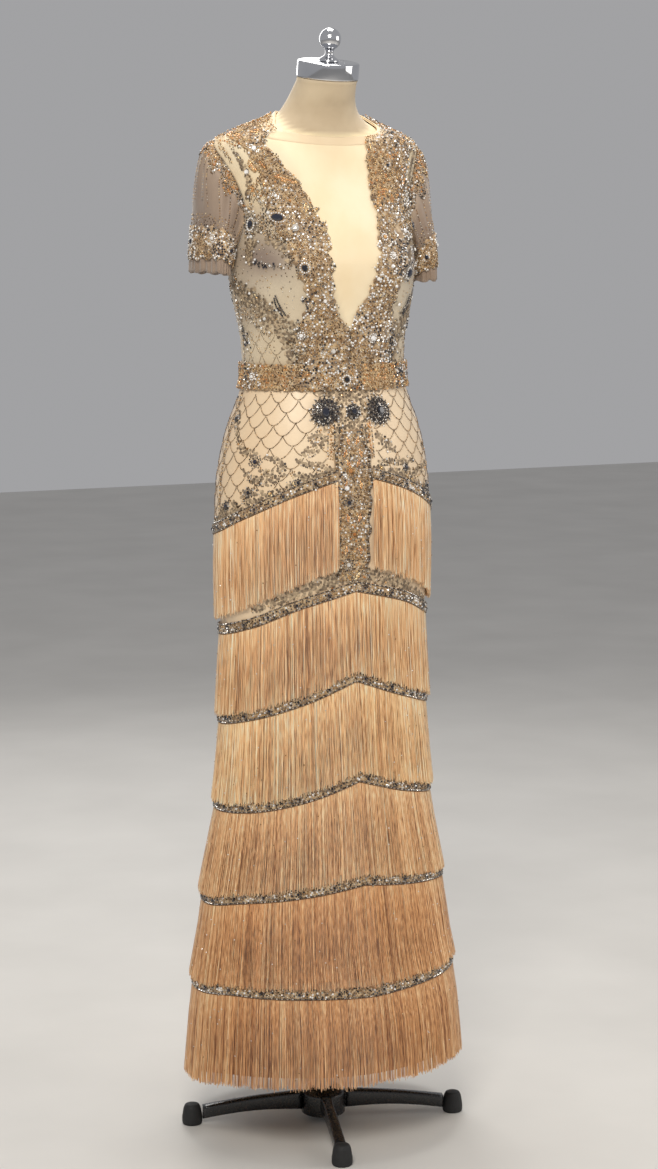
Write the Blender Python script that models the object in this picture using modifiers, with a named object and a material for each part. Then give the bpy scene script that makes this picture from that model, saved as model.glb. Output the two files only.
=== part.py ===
"""Short-sleeved evening gown with six tiers of fringe, worn by a limbless dress form on a four-legged stand.

Metres, +Z up. The front of the gown faces -Y and the wearer's left is +X. The origin is on the floor, under the
pole. A turn is an angle round the gown in degrees: 0 at centre front, 90 at the wearer's left, 180 at centre back.
"""

from collections import namedtuple
from math import cos, degrees, exp, floor, pi, radians, sin, sqrt, tan

import bmesh
import bpy
from mathutils import Vector

# Cloth and seams
WALL = 0.0015
SEAM_GAP = 0.0003
SEAM_TRIM = SEAM_GAP / 2 + 0.16 * WALL
FORM_EASE = 0.0022
FORM_INSET = 0.0012
SHOULDER_INSET = 0.0044
BODICE_LIFT = FORM_EASE + WALL
TRIM_LIFT = 0.0008
BELT_LIFT = 0.0022
APPLIQUE_LIFT = 0.0030
CUFF_LIFT = 0.0013
ROSETTE_LIFT = 0.0009
TRIM_WALL = 0.0026

# Heights of the gown's main lines
WAIST_SEAM = 1.1535
BELT_BOTTOM = 1.135
BELT_TOP = 1.172
SKIRT_END = 0.165
NECK_FRONT = 1.4975
NECK_SIDE = 1.5315
NECK_BACK = 1.535

# Armhole, from the underarm to the shoulder tip
UNDERARM = 1.333
SHOULDER_TIP = 1.493
ARMHOLE_INSET = 21.0

# Dress form: half width, reach to the front and to the back, y of the widest point, and forward lean of the ring.
FormSection = namedtuple("FormSection", "height half_width front back middle lean")
FORM_SECTIONS = [
    FormSection(0.830, 0.150, 0.098, 0.104, 0.000, 0),
    FormSection(0.880, 0.159, 0.104, 0.112, 0.000, 0),
    FormSection(0.940, 0.163, 0.107, 0.116, 0.000, 0),
    FormSection(1.000, 0.160, 0.106, 0.113, 0.000, 0),
    FormSection(1.060, 0.146, 0.102, 0.101, 0.000, 0),
    FormSection(1.110, 0.129, 0.096, 0.086, 0.000, 0),
    FormSection(1.155, 0.122, 0.088, 0.080, 0.000, 0),
    FormSection(1.200, 0.123, 0.090, 0.084, 0.002, 0),
    FormSection(1.245, 0.130, 0.099, 0.090, 0.005, 0),
    FormSection(1.285, 0.137, 0.110, 0.097, 0.009, 0),
    FormSection(1.315, 0.140, 0.115, 0.100, 0.012, 0),
    FormSection(1.350, 0.139, 0.108, 0.103, 0.016, 0),
    FormSection(1.390, 0.138, 0.092, 0.104, 0.022, 0),
    FormSection(1.430, 0.146, 0.074, 0.100, 0.030, 0),
    FormSection(1.468, 0.159, 0.057, 0.092, 0.035, 0),
    FormSection(1.484, 0.163, 0.048, 0.086, 0.036, 0),
    FormSection(1.4935, 0.156, 0.043, 0.082, 0.035, 0),
    FormSection(1.4995, 0.141, 0.040, 0.079, 0.034, 0),
    FormSection(1.5125, 0.106, 0.036, 0.074, 0.028, 0),
    FormSection(1.5245, 0.077, 0.034, 0.070, 0.021, 0),
    FormSection(1.537, 0.062, 0.036, 0.068, 0.016, 0),
    FormSection(1.560, 0.050, 0.047, 0.052, 0.003, 5),
    FormSection(1.5849, 0.0445, 0.0597, 0.0279, -0.0159, 10),
]
FORM_ROWS = [0.830, 0.890, 0.960, 1.030, 1.095, 1.155, 1.205, 1.250, 1.285, 1.315, 1.345, 1.380, 1.415, 1.448,
             1.471, 1.486, 1.4945, 1.508, 1.522, 1.537, 1.560, 1.5849]
FORM_SIDES = 32
SHOULDER_FROM = 1.458
SHOULDER_TO = 1.502

# The two rises of the bust, as an extra reach outwards from the section
BUST_RISE = 0.008
BUST_TURN = 33.0
BUST_TURN_SPREAD = 17.0
BUST_HEIGHT = 1.310
BUST_HEIGHT_SPREAD = 0.042

# Skirt, the outer face of its wall under the fringe
SkirtSection = namedtuple("SkirtSection", "height half_width front back")
SKIRT_SECTIONS = [
    SkirtSection(0.080, 0.2100, 0.1950, 0.1790),
    SkirtSection(0.165, 0.2060, 0.1890, 0.1750),
    SkirtSection(0.210, 0.2040, 0.1830, 0.1720),
    SkirtSection(0.250, 0.2010, 0.1740, 0.1680),
    SkirtSection(0.315, 0.1920, 0.1580, 0.1560),
    SkirtSection(0.370, 0.1880, 0.1500, 0.1490),
    SkirtSection(0.441, 0.1770, 0.1400, 0.1410),
    SkirtSection(0.504, 0.1680, 0.1310, 0.1330),
    SkirtSection(0.600, 0.1620, 0.1210, 0.1230),
    SkirtSection(0.670, 0.1610, 0.1160, 0.1200),
    SkirtSection(0.766, 0.1600, 0.1120, 0.1170),
    SkirtSection(0.860, 0.1650, 0.1120, 0.1190),
    SkirtSection(0.950, 0.1680, 0.1140, 0.1210),
    SkirtSection(0.994, 0.1660, 0.1130, 0.1180),
    SkirtSection(1.039, 0.1590, 0.1110, 0.1110),
    SkirtSection(1.084, 0.1470, 0.1060, 0.1000),
    SkirtSection(1.106, 0.1380, 0.1020, 0.0940),
    SkirtSection(1.130, 0.1300, 0.0970, 0.0880),
    SkirtSection(1.1535, 0.1252, 0.0915, 0.0830),
    SkirtSection(1.175, 0.1250, 0.0915, 0.0835),
]
SKIRT_ROWS = [0.080, SKIRT_END, 0.260, 0.360, 0.470, 0.600, 0.740, 0.850, 0.940, 1.010, 1.070, 1.115,
              WAIST_SEAM - SEAM_GAP / 2, 1.175]
FACETS_ROUND = 32
FACET = 360 / FACETS_ROUND

# Bodice rows, as heights on the side of the neck
BODICE_ROWS = [WAIST_SEAM + SEAM_GAP / 2, 1.200, 1.245, 1.282, 1.312, 1.333, 1.3533, 1.3885, 1.4258, 1.4567,
               1.477, 1.493, 1.511, NECK_SIDE]

# Fringe: the height of each tier's roots and tips at these turns, the same to the left and to the right, and how
# often its locks bend over the skirt
TIER_TURNS = [0, 30, 60, 90, 135, 180]
Tier = namedtuple("Tier", "roots tips bends")
TIERS = [
    Tier((1.010, 0.983, 0.951, 0.925, 0.908, 0.903), (0.876, 0.850, 0.818, 0.797, 0.785, 0.782), 1),
    Tier((0.837, 0.815, 0.787, 0.772, 0.764, 0.762), (0.715, 0.684, 0.662, 0.649, 0.642, 0.640), 0),
    Tier((0.703, 0.672, 0.650, 0.637, 0.630, 0.628), (0.567, 0.540, 0.524, 0.517, 0.513, 0.511), 0),
    Tier((0.554, 0.528, 0.512, 0.505, 0.501, 0.499), (0.415, 0.401, 0.390, 0.376, 0.372, 0.370), 0),
    Tier((0.402, 0.389, 0.378, 0.364, 0.360, 0.358), (0.254, 0.256, 0.254, 0.243, 0.240, 0.239), 0),
    Tier((0.240, 0.243, 0.242, 0.231, 0.228, 0.227), (0.118, 0.118, 0.113, 0.099, 0.096, 0.094), 1),
]
TIER_TILT = 0.004
FRONT_GAP = FACET
TAPE_LIFT = 0.0007
TAPE_HEIGHT = 0.005
TAPE_WALL = 0.0028
LOCK_PARTING = 0.0022
LOCK_TIP_LIFT = 0.0050
LOCK_TIP_WALL = 0.0035
LOCK_TIP_WIDTH = 0.94
LOCK_RAGGED = 0.003
LOCK_RAGGED_STEP = 2.4
LOCK_FLARE = 0.7
BAND_CLEAR = 0.0009
BAND_HEIGHT = 0.013
BAND_WALL = 0.0030

# Centre front panel and the three rosettes above it
PANEL_TOP = 1.078
PANEL_BOTTOM = 0.857
PANEL_ROWS = 14
PANEL_HALF_WIDTH = 0.0235
PANEL_TAPER = 0.28
PANEL_SCALLOP = 0.0035
Rosette = namedtuple("Rosette", "name offset height radius rise petals")
ROSETTES = [
    Rosette("rosette_right", -0.0420, 1.1045, 0.0225, 0.006, 10),
    Rosette("rosette_centre", 0.0, 1.1045, 0.0130, 0.005, 8),
    Rosette("rosette_left", 0.0420, 1.1045, 0.0225, 0.006, 10),
]

ROSETTE_NOTCH = 0.82
ROSETTE_RIM = 0.45
ROSETTE_CROWN = 1.6

# Neckline appliques: turn of the inner edge to the right and to the left, and of the outer edge, at shares of the
# bodice's height
AppliqueRow = namedtuple("AppliqueRow", "share right left outer")
APPLIQUE_ROWS = [
    AppliqueRow(0.075, 0.2, 0.2, 36.0),
    AppliqueRow(0.130, 0.2, 0.2, 39.0),
    AppliqueRow(0.190, 0.2, 0.2, 38.0),
    AppliqueRow(0.240, 7.0, 0.8, 34.0),
    AppliqueRow(0.280, 11.0, 3.0, 31.0),
    AppliqueRow(0.340, 13.5, 8.5, 30.0),
    AppliqueRow(0.400, 15.5, 11.5, 33.0),
    AppliqueRow(0.460, 15.5, 13.0, 36.0),
    AppliqueRow(0.530, 18.0, 16.5, 46.0),
    AppliqueRow(0.600, 20.0, 19.5, 62.0),
    AppliqueRow(0.680, 29.0, 23.5, 68.0),
    AppliqueRow(0.750, 33.0, 20.5, 66.0),
    AppliqueRow(0.830, 39.5, 20.0, 62.0),
    AppliqueRow(0.890, 43.0, 19.5, 61.0),
    AppliqueRow(0.930, 44.0, 19.0, 68.0),
    AppliqueRow(0.965, 43.0, 19.0, 74.0),
]
APPLIQUE_SCALLOP = 1.6
APPLIQUE_COLUMNS = 7

# Sleeves: the hem is an ellipse that hangs beside the form
ARMHOLE_CENTRE = Vector((0.150, 0.032, 1.413))
SLEEVE_CLEAR = 0.0009
SLEEVE_SIDES = 24
# Rows from the armhole to the hem: a share of the sleeve's length, and how much more of it outside than in front
SleeveRow = namedtuple("SleeveRow", "share swing")
SLEEVE_ROWS = [SleeveRow(0.0, 0.0), SleeveRow(0.14, 0.02), SleeveRow(0.33, 0.08), SleeveRow(0.60, 0.14),
               SleeveRow(0.86, 0.06), SleeveRow(1.0, 0.0)]
HEM_X = 0.168
HEM_Y = 0.034
HEM_HALF_WIDTH = 0.0187
HEM_HALF_DEPTH = 0.062
HEM_HEIGHTS = {"left": 1.288, "right": 1.301}
HEM_LIFT_OUTSIDE = 0.002
FOLD_COUNT = 5
FOLD_DEPTH = 0.0022
FOLD_START = 0.35
CAP_REACH = 0.0212
UNDERARM_REACH = 0.006
CAP_DROP = 0.085
HEM_FALL = 0.075
UNDERARM_FALL = 0.008
SLEEVE_WALL = 0.0012
CUFF_ROWS = SLEEVE_ROWS[3:5]
CUFF_WALL = 0.002

# Dress form's neck cap and finial
CAP_CENTRE = Vector((0, -0.018, 1.597))
CAP_RADIUS = 0.0455
CAP_HEIGHT = 0.024
CAP_LEAN = radians(10)
CAP_EDGE = 0.0015
BALL_RADIUS = 0.016
FINIAL_HEIGHT = 0.048
FINIAL_STEM = [(0.0062, 0.0135), (0.0075, 0.0075), (0.0150, 0.0), (0, 0)]

# Stand
POLE_RADIUS = 0.016
HUB_RADIUS = 0.034
HUB_BOTTOM = 0.010
HUB_TOP = 0.052
LEG_COUNT = 4
LEG_FIRST_TURN = -17
LEG_WIDTH = 0.018
LEG_EDGE = 0.003
LEG_TOP_AT_HUB = 0.046
LEG_TOP_AT_FOOT = 0.028
LEG_UNDER_AT_HUB = 0.016
LEG_UNDER_AT_FOOT = 0.008
LEG_TOP_ARCH = 0.003
LEG_UNDER_ARCH = 0.005
LEG_STEPS = 6
FOOT_REACH = 0.204
FOOT_RADIUS = 0.0155
FOOT_HEIGHT = 0.033
FIT = 0.0003

# Outlines of turned pieces as radius and height, down their outer side
HUB_PROFILE = [(0, HUB_TOP), (0.024, HUB_TOP), (0.028, HUB_TOP - 0.004), (HUB_RADIUS, HUB_TOP - 0.010),
               (HUB_RADIUS, HUB_BOTTOM), (0, HUB_BOTTOM)]
FOOT_PROFILE = [(0, FOOT_HEIGHT), (0.009, FOOT_HEIGHT), (0.0125, FOOT_HEIGHT - 0.004), (FOOT_RADIUS, 0.006),
                (FOOT_RADIUS - 0.001, 0), (0, 0)]


def clear_scene():
    for existing in list(bpy.data.objects):
        bpy.data.objects.remove(existing)


def make_collection(name):
    group = bpy.data.collections.new(name)
    bpy.context.scene.collection.children.link(group)
    return group


def finish(name, colour, roughness, metallic=0.0):
    material = bpy.data.materials.new(name)
    material.use_nodes = True
    shader = material.node_tree.nodes["Principled BSDF"]
    shader.inputs["Base Color"].default_value = (*colour, 1)
    shader.inputs["Roughness"].default_value = roughness
    shader.inputs["Metallic"].default_value = metallic
    material.diffuse_color = (*colour, 1)
    return material


def steady_slopes(knots, values):
    secants = [(values[i + 1] - values[i]) / (knots[i + 1] - knots[i]) for i in range(len(knots) - 1)]
    slopes = [secants[0]]
    for before, after in zip(secants, secants[1:]):
        slopes.append(0.0 if before * after <= 0 else 2 * before * after / (before + after))
    return slopes + [secants[-1]]


def smooth_at(knots, values, place):
    """The value at a place, on a curve through the knots that never overshoots them."""
    place = min(max(place, knots[0]), knots[-1])
    slopes = steady_slopes(knots, values)
    cell = next((i for i in range(len(knots) - 1) if place <= knots[i + 1]), len(knots) - 2)
    span = knots[cell + 1] - knots[cell]
    t = (place - knots[cell]) / span
    return (
        values[cell] * (1 + 2 * t) * (1 - t) ** 2
        + span * slopes[cell] * t * (1 - t) ** 2
        + values[cell + 1] * t * t * (3 - 2 * t)
        + span * slopes[cell + 1] * t * t * (t - 1)
    )


def section_at(table, height):
    knots = [row.height for row in table]
    columns = list(zip(*table))[1:]
    return type(table[0])(height, *(smooth_at(knots, column, height) for column in columns))


def neckline_height(turn):
    """A round neckline, lowest at centre front."""
    mean = (NECK_FRONT + 2 * NECK_SIDE + NECK_BACK) / 4
    swing = (NECK_FRONT - NECK_BACK) / 2
    return mean + swing * cos(radians(turn)) + (mean - NECK_SIDE) * cos(radians(2 * turn))


def bust_rise(turn, height):
    across = (abs(turn) - BUST_TURN) / BUST_TURN_SPREAD
    along = (height - BUST_HEIGHT) / BUST_HEIGHT_SPREAD
    return BUST_RISE * exp(-across * across - along * along)


def form_point(turn, height):
    section = section_at(FORM_SECTIONS, height)
    side, forward = sin(radians(turn)), cos(radians(turn))
    reach = section.front + section.middle if forward > 0 else section.back - section.middle
    rise = bust_rise(turn, height)
    x = (section.half_width + rise) * side
    y = section.middle - (reach + rise) * forward
    return Vector((x, y, height + (y - section.middle) * tan(radians(section.lean))))


def form_normal(turn, height):
    around = form_point(turn + 0.5, height) - form_point(turn - 0.5, height)
    upward = form_point(turn, height + 0.0015) - form_point(turn, height - 0.0015)
    return around.cross(upward).normalized()


def armhole_inset(height):
    """How far the armhole cuts in from the side, in degrees, at a height."""
    share = (height - UNDERARM) / (SHOULDER_TIP - UNDERARM)
    return ARMHOLE_INSET * sqrt(4 * share * (1 - share)) if 0 < share < 1 else 0.0


def bodice_point(turn, share, lift):
    """A point of the bodice, lifted off the form. Turns are squeezed in front of and behind the armhole."""
    height = WAIST_SEAM + share * (neckline_height(turn) - WAIST_SEAM)
    kept = 1 - armhole_inset(height) / 90
    side = 1 if turn >= 0 else -1
    squeezed = turn * kept if abs(turn) <= 90 else side * (180 - (180 - abs(turn)) * kept)
    return form_point(squeezed, height) + form_normal(squeezed, height) * lift


def bodice_corner(facet, row, lift):
    share = (BODICE_ROWS[row] - WAIST_SEAM) / (NECK_SIDE - WAIST_SEAM)
    turn = (facet * FACET + 180) % 360 - 180
    return bodice_point(turn, share, lift)


def on_bodice(turn, share, lift):
    """A point on the facets of the bodice's outer face, lifted outwards."""
    shares = [(height - WAIST_SEAM) / (NECK_SIDE - WAIST_SEAM) for height in BODICE_ROWS]
    row = next((i for i in range(len(shares) - 1) if share <= shares[i + 1]), len(shares) - 2)
    climb = (share - shares[row]) / (shares[row + 1] - shares[row])
    facet = floor(turn / FACET)
    across = turn / FACET - facet
    rises = []
    for height in (BODICE_LIFT, BODICE_LIFT + 0.001):
        low = bodice_corner(facet, row, height).lerp(bodice_corner(facet + 1, row, height), across)
        high = bodice_corner(facet, row + 1, height).lerp(bodice_corner(facet + 1, row + 1, height), across)
        rises.append(low.lerp(high, climb))
    return rises[0] + (rises[1] - rises[0]).normalized() * lift


def skirt_corner(facet, height):
    """A corner of the skirt's flat facets, straight between the rows of its wall."""
    above = next((i for i, row in enumerate(SKIRT_ROWS) if row > height), len(SKIRT_ROWS) - 1)
    low, high = SKIRT_ROWS[above - 1], SKIRT_ROWS[above]
    blend = (height - low) / (high - low)
    ends = []
    for row in (low, high):
        section = section_at(SKIRT_SECTIONS, row)
        side, forward = sin(radians(facet * FACET)), cos(radians(facet * FACET))
        reach = section.front if forward > 0 else section.back
        ends.append(Vector((section.half_width * side, -reach * forward, row)))
    return ends[0].lerp(ends[1], blend)


def skirt_point(turn, height, lift):
    """A point on the facets of the skirt, lifted straight outwards."""
    facet = floor(turn / FACET)
    near, far = skirt_corner(facet, height), skirt_corner(facet + 1, height)
    before, after = skirt_corner(facet - 1, height), skirt_corner(facet + 2, height)
    share = turn / FACET - facet
    along = (far - before).lerp(after - near, share)
    outward = Vector((along.y, -along.x, 0)).normalized()
    return near.lerp(far, share) + outward * lift


def new_object(name, mesh, material, group):
    piece = bpy.data.objects.new(name, mesh)
    mesh.materials.append(material)
    group.objects.link(piece)
    return piece


def round_off(mesh, angle=40):
    mesh.shade_smooth()
    mesh.set_sharp_from_angle(angle=radians(angle))


def grid_mesh(name, rows, closed):
    """An open sheet through rows of points. A closed sheet joins its last column to its first."""
    columns = len(rows[0])
    spans = columns if closed else columns - 1
    faces = []
    for row in range(len(rows) - 1):
        for column in range(spans):
            near, far = row * columns, (row + 1) * columns
            after = (column + 1) % columns
            faces.append((near + column, near + after, far + after, far + column))
    mesh = bpy.data.meshes.new(name)
    mesh.from_pydata([point for row in rows for point in row], [], faces)
    return mesh


def cloth(name, rows, wall, material, group, closed=False):
    """A sheet of cloth: the rows are its outer face, and the wall lies inside them."""
    mesh = grid_mesh(name, rows, closed)
    round_off(mesh)
    piece = new_object(name, mesh, material, group)
    thickness = piece.modifiers.new("wall", "SOLIDIFY")
    thickness.thickness = wall
    thickness.offset = -1
    return piece


def lofted(name, rings, material, group):
    """A closed solid through rings of points, with flat ends."""
    mesh = grid_mesh(name, rings, closed=True)
    shape = bmesh.new()
    shape.from_mesh(mesh)
    bmesh.ops.holes_fill(shape, edges=[edge for edge in shape.edges if edge.is_boundary])
    bmesh.ops.recalc_face_normals(shape, faces=shape.faces)
    shape.to_mesh(mesh)
    shape.free()
    round_off(mesh)
    return new_object(name, mesh, material, group)


def turned(name, profile, sides, material, group):
    """A turned solid: the profile runs down its outer side from the axis to the axis."""
    mesh = bpy.data.meshes.new(name)
    mesh.from_pydata([(radius, 0, height) for radius, height in profile], [],
                     [(i, i + 1) for i in range(len(profile) - 1)])
    piece = new_object(name, mesh, material, group)
    screw = piece.modifiers.new("turn", "SCREW")
    screw.steps = sides
    screw.render_steps = sides
    screw.use_normal_flip = True
    screw.use_merge_vertices = True
    screw.merge_threshold = 0.0001
    return piece


def form_torso(material, group):
    turns = [360 * side / FORM_SIDES for side in range(FORM_SIDES)]
    rings = []
    for height in FORM_ROWS:
        inset = SHOULDER_INSET if SHOULDER_FROM < height < SHOULDER_TO else FORM_INSET
        inset *= height < FORM_ROWS[-1]
        around = [turn if turn <= 180 else turn - 360 for turn in turns]
        rings.append([form_point(turn, height) - form_normal(turn, height) * inset for turn in around])
    return lofted("form_torso", rings, material, group)


def neck_cap(material, group):
    mesh = bpy.data.meshes.new("neck_cap")
    shape = bmesh.new()
    bmesh.ops.create_cone(shape, cap_ends=True, segments=28, radius1=CAP_RADIUS, radius2=CAP_RADIUS,
                          depth=CAP_HEIGHT)
    shape.to_mesh(mesh)
    shape.free()
    round_off(mesh)
    piece = new_object("neck_cap", mesh, material, group)
    piece.location = CAP_CENTRE
    piece.rotation_euler.x = CAP_LEAN
    bevel = piece.modifiers.new("rim", "BEVEL")
    bevel.width = CAP_EDGE
    bevel.segments = 1
    return piece


def finial(material, group):
    """A ball on a waisted stem, upright on the leaning cap."""
    ball_centre = FINIAL_HEIGHT - BALL_RADIUS
    profile = [(0, FINIAL_HEIGHT)]
    for step in range(1, 6):
        angle = pi * step / 7
        profile.append((BALL_RADIUS * sin(angle), ball_centre + BALL_RADIUS * cos(angle)))
    piece = turned("neck_finial", profile + FINIAL_STEM, 16, material, group)
    up = Vector((0, -sin(CAP_LEAN), cos(CAP_LEAN)))
    piece.location = CAP_CENTRE + up * (CAP_HEIGHT / 2 + FIT)
    piece.rotation_euler.x = CAP_LEAN
    return piece


def leg_mesh():
    """A cast leg along +X: a low arch, seen from its side, with its edges taken off."""
    start, end = HUB_RADIUS + FIT, FOOT_REACH - FOOT_RADIUS - FIT
    top, under = [], []
    for step in range(LEG_STEPS + 1):
        share = step / LEG_STEPS
        reach = start + (end - start) * share
        arch = sin(pi * share)
        fall = (LEG_TOP_AT_HUB - LEG_TOP_AT_FOOT) * share ** 0.8
        top.append((reach, LEG_TOP_AT_HUB - fall + LEG_TOP_ARCH * arch))
        fall = (LEG_UNDER_AT_HUB - LEG_UNDER_AT_FOOT) * share
        under.append((reach, LEG_UNDER_AT_HUB - fall + LEG_UNDER_ARCH * arch))
    shape = bmesh.new()
    outline = [shape.verts.new((x, -LEG_WIDTH / 2, z)) for x, z in under + top[::-1]]
    side = shape.faces.new(outline)
    grown = bmesh.ops.extrude_face_region(shape, geom=[side])["geom"]
    bmesh.ops.translate(shape, vec=(0, LEG_WIDTH, 0), verts=[v for v in grown if isinstance(v, bmesh.types.BMVert)])
    bmesh.ops.recalc_face_normals(shape, faces=shape.faces)
    mesh = bpy.data.meshes.new("stand_leg")
    shape.to_mesh(mesh)
    shape.free()
    return mesh


def stand(materials, group):
    pole_bottom = HUB_TOP + FIT
    pole_length = FORM_ROWS[0] - FIT - pole_bottom
    mesh = bpy.data.meshes.new("stand_pole")
    shape = bmesh.new()
    bmesh.ops.create_cone(shape, cap_ends=True, segments=16, radius1=POLE_RADIUS, radius2=POLE_RADIUS,
                          depth=pole_length)
    shape.to_mesh(mesh)
    shape.free()
    round_off(mesh)
    pole = new_object("stand_pole", mesh, materials["steel"], group)
    pole.location.z = pole_bottom + pole_length / 2
    turned("stand_hub", HUB_PROFILE, 20, materials["black"], group)
    shared_leg = leg_mesh()
    shared_leg.materials.append(materials["black"])
    for number in range(LEG_COUNT):
        turn = radians(LEG_FIRST_TURN + 360 / LEG_COUNT * number)
        leg = bpy.data.objects.new(f"stand_leg_{number + 1}", shared_leg)
        leg.rotation_euler.z = turn - pi / 2
        group.objects.link(leg)
        soften = leg.modifiers.new("soft edges", "BEVEL")
        soften.width = LEG_EDGE
        soften.segments = 1
        soften.limit_method = "ANGLE"
        foot = turned(f"stand_foot_{number + 1}", FOOT_PROFILE, 14, materials["rubber"], group)
        foot.location = Vector((FOOT_REACH * sin(turn), -FOOT_REACH * cos(turn), 0))
        foot.rotation_euler.z = turn - pi / 2


def seam_turn(width):
    """Half of a seam's gap as an angle, on a curve of this radius."""
    return degrees(SEAM_TRIM / width)


def bodice_panel(name, first, last, material, group):
    """A panel of the bodice between two seams."""
    columns = round((last - first) / FACET)
    shares = [(height - WAIST_SEAM) / (NECK_SIDE - WAIST_SEAM) for height in BODICE_ROWS]
    rows = []
    for share in shares:
        row = []
        for column in range(columns + 1):
            turn = first + FACET * column
            height = WAIST_SEAM + share * (neckline_height(turn) - WAIST_SEAM)
            section = section_at(FORM_SECTIONS, height)
            trim = seam_turn(min(section.half_width, section.front + section.middle, section.back - section.middle))
            turn = min(max(turn, first + trim), last - trim)
            row.append(bodice_point(turn, share, BODICE_LIFT))
        rows.append(row)
    return cloth(name, rows, WALL, material, group)


def skirt_panel(name, first, last, material, group):
    """A panel of the skirt, cut from its facets between two seams."""
    rows = []
    for height in SKIRT_ROWS[1:-1]:
        section = section_at(SKIRT_SECTIONS, height)
        trim = seam_turn(min(section.half_width, section.front, section.back))
        turns = [first + FACET * column for column in range(round((last - first) / FACET) + 1)]
        turns[0] += trim
        turns[-1] -= trim
        rows.append([skirt_point(turn, height, 0) for turn in turns])
    return cloth(name, rows, WALL, material, group)


def armhole_corner(number):
    """Corner of the armhole's edge and its normal: 0 at the shoulder tip, down the front, and up the back."""
    rows = [height for height in BODICE_ROWS if UNDERARM <= height <= SHOULDER_TIP][::-1]
    number %= 2 * (len(rows) - 1)
    front = number < len(rows)
    height = rows[number] if front else rows[2 * (len(rows) - 1) - number]
    turn = 90 - armhole_inset(height) if front else 90 + armhole_inset(height)
    return form_point(turn, height), form_normal(turn, height)


def armhole_place(side):
    """A place on the straight runs between the armhole's corners, just inside the opening."""
    number, half = divmod(side, 2)
    point, normal = armhole_corner(number)
    if half:
        after, after_normal = armhole_corner(number + 1)
        point, normal = point.lerp(after, 0.5), normal.lerp(after_normal, 0.5).normalized()
    inwards = ARMHOLE_CENTRE - point
    inwards = (inwards - normal * inwards.dot(normal)).normalized()
    return point + inwards * SLEEVE_CLEAR + normal * (FORM_EASE + SLEEVE_WALL), normal


def sleeve_path(side, share, hem_height, lift=0.0):
    """A point of a sleeve on the wearer's left: side 0 is outside, then in front, under the arm and behind."""
    angle = 2 * pi * side / SLEEVE_SIDES
    outside = (1 + cos(angle)) / 2
    start, normal = armhole_place(side)
    leave = Vector((normal.x, normal.y, -CAP_DROP * outside)).normalized()
    fold = FOLD_DEPTH * cos(FOLD_COUNT * angle + FOLD_START)
    hem = Vector((HEM_X + (HEM_HALF_WIDTH + fold) * cos(angle),
                  HEM_Y - (HEM_HALF_DEPTH + fold) * sin(angle),
                  hem_height + HEM_LIFT_OUTSIDE * cos(angle)))
    first = start + leave * (UNDERARM_REACH + CAP_REACH * outside)
    second = hem + Vector((0, 0, UNDERARM_FALL + HEM_FALL * outside))
    rest = 1 - share
    point = start * rest ** 3 + first * (3 * rest * rest * share) + second * (3 * rest * share * share)
    point += hem * share ** 3
    return point + Vector((cos(angle), -sin(angle), 0)) * lift


def mirrored(rows):
    """The same sheet on the wearer's right, with its outer face still outside."""
    return [[Vector((-point.x, point.y, point.z)) for point in reversed(row)] for row in rows]


def sleeve_sheet(rows, hem_height, lift):
    sheet = []
    for row in rows:
        shares = [row.share + row.swing * cos(2 * pi * side / SLEEVE_SIDES) for side in range(SLEEVE_SIDES)]
        sheet.append([sleeve_path(side, share, hem_height, lift) for side, share in enumerate(shares)])
    return sheet


def sleeves(materials, group):
    for side, turn_over in (("left", lambda rows: rows), ("right", mirrored)):
        sleeve = sleeve_sheet(SLEEVE_ROWS, HEM_HEIGHTS[side], 0)
        cuff = sleeve_sheet(CUFF_ROWS, HEM_HEIGHTS[side], CUFF_LIFT + CUFF_WALL)
        cloth(f"sleeve_{side}", turn_over(sleeve), SLEEVE_WALL, materials["net"], group, closed=True)
        cloth(f"cuff_{side}", turn_over(cuff), CUFF_WALL, materials["beads"], group, closed=True)


def tier_height(heights, turn):
    turn = (turn + 180) % 360 - 180
    return smooth_at(TIER_TURNS, heights, abs(turn)) + TIER_TILT * sin(radians(turn))


def trim_band(name, tier, turns, closed, material, group):
    """A beaded band that covers the tape of a tier."""
    rows = []
    for rise in (TAPE_HEIGHT + BAND_CLEAR, TAPE_HEIGHT + BAND_CLEAR + BAND_HEIGHT):
        rows.append([skirt_point(turn, tier_height(tier.roots, turn) + rise, TAPE_LIFT + BAND_WALL)
                     for turn in turns])
    return cloth(name, rows, BAND_WALL, material, group, closed)


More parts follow.
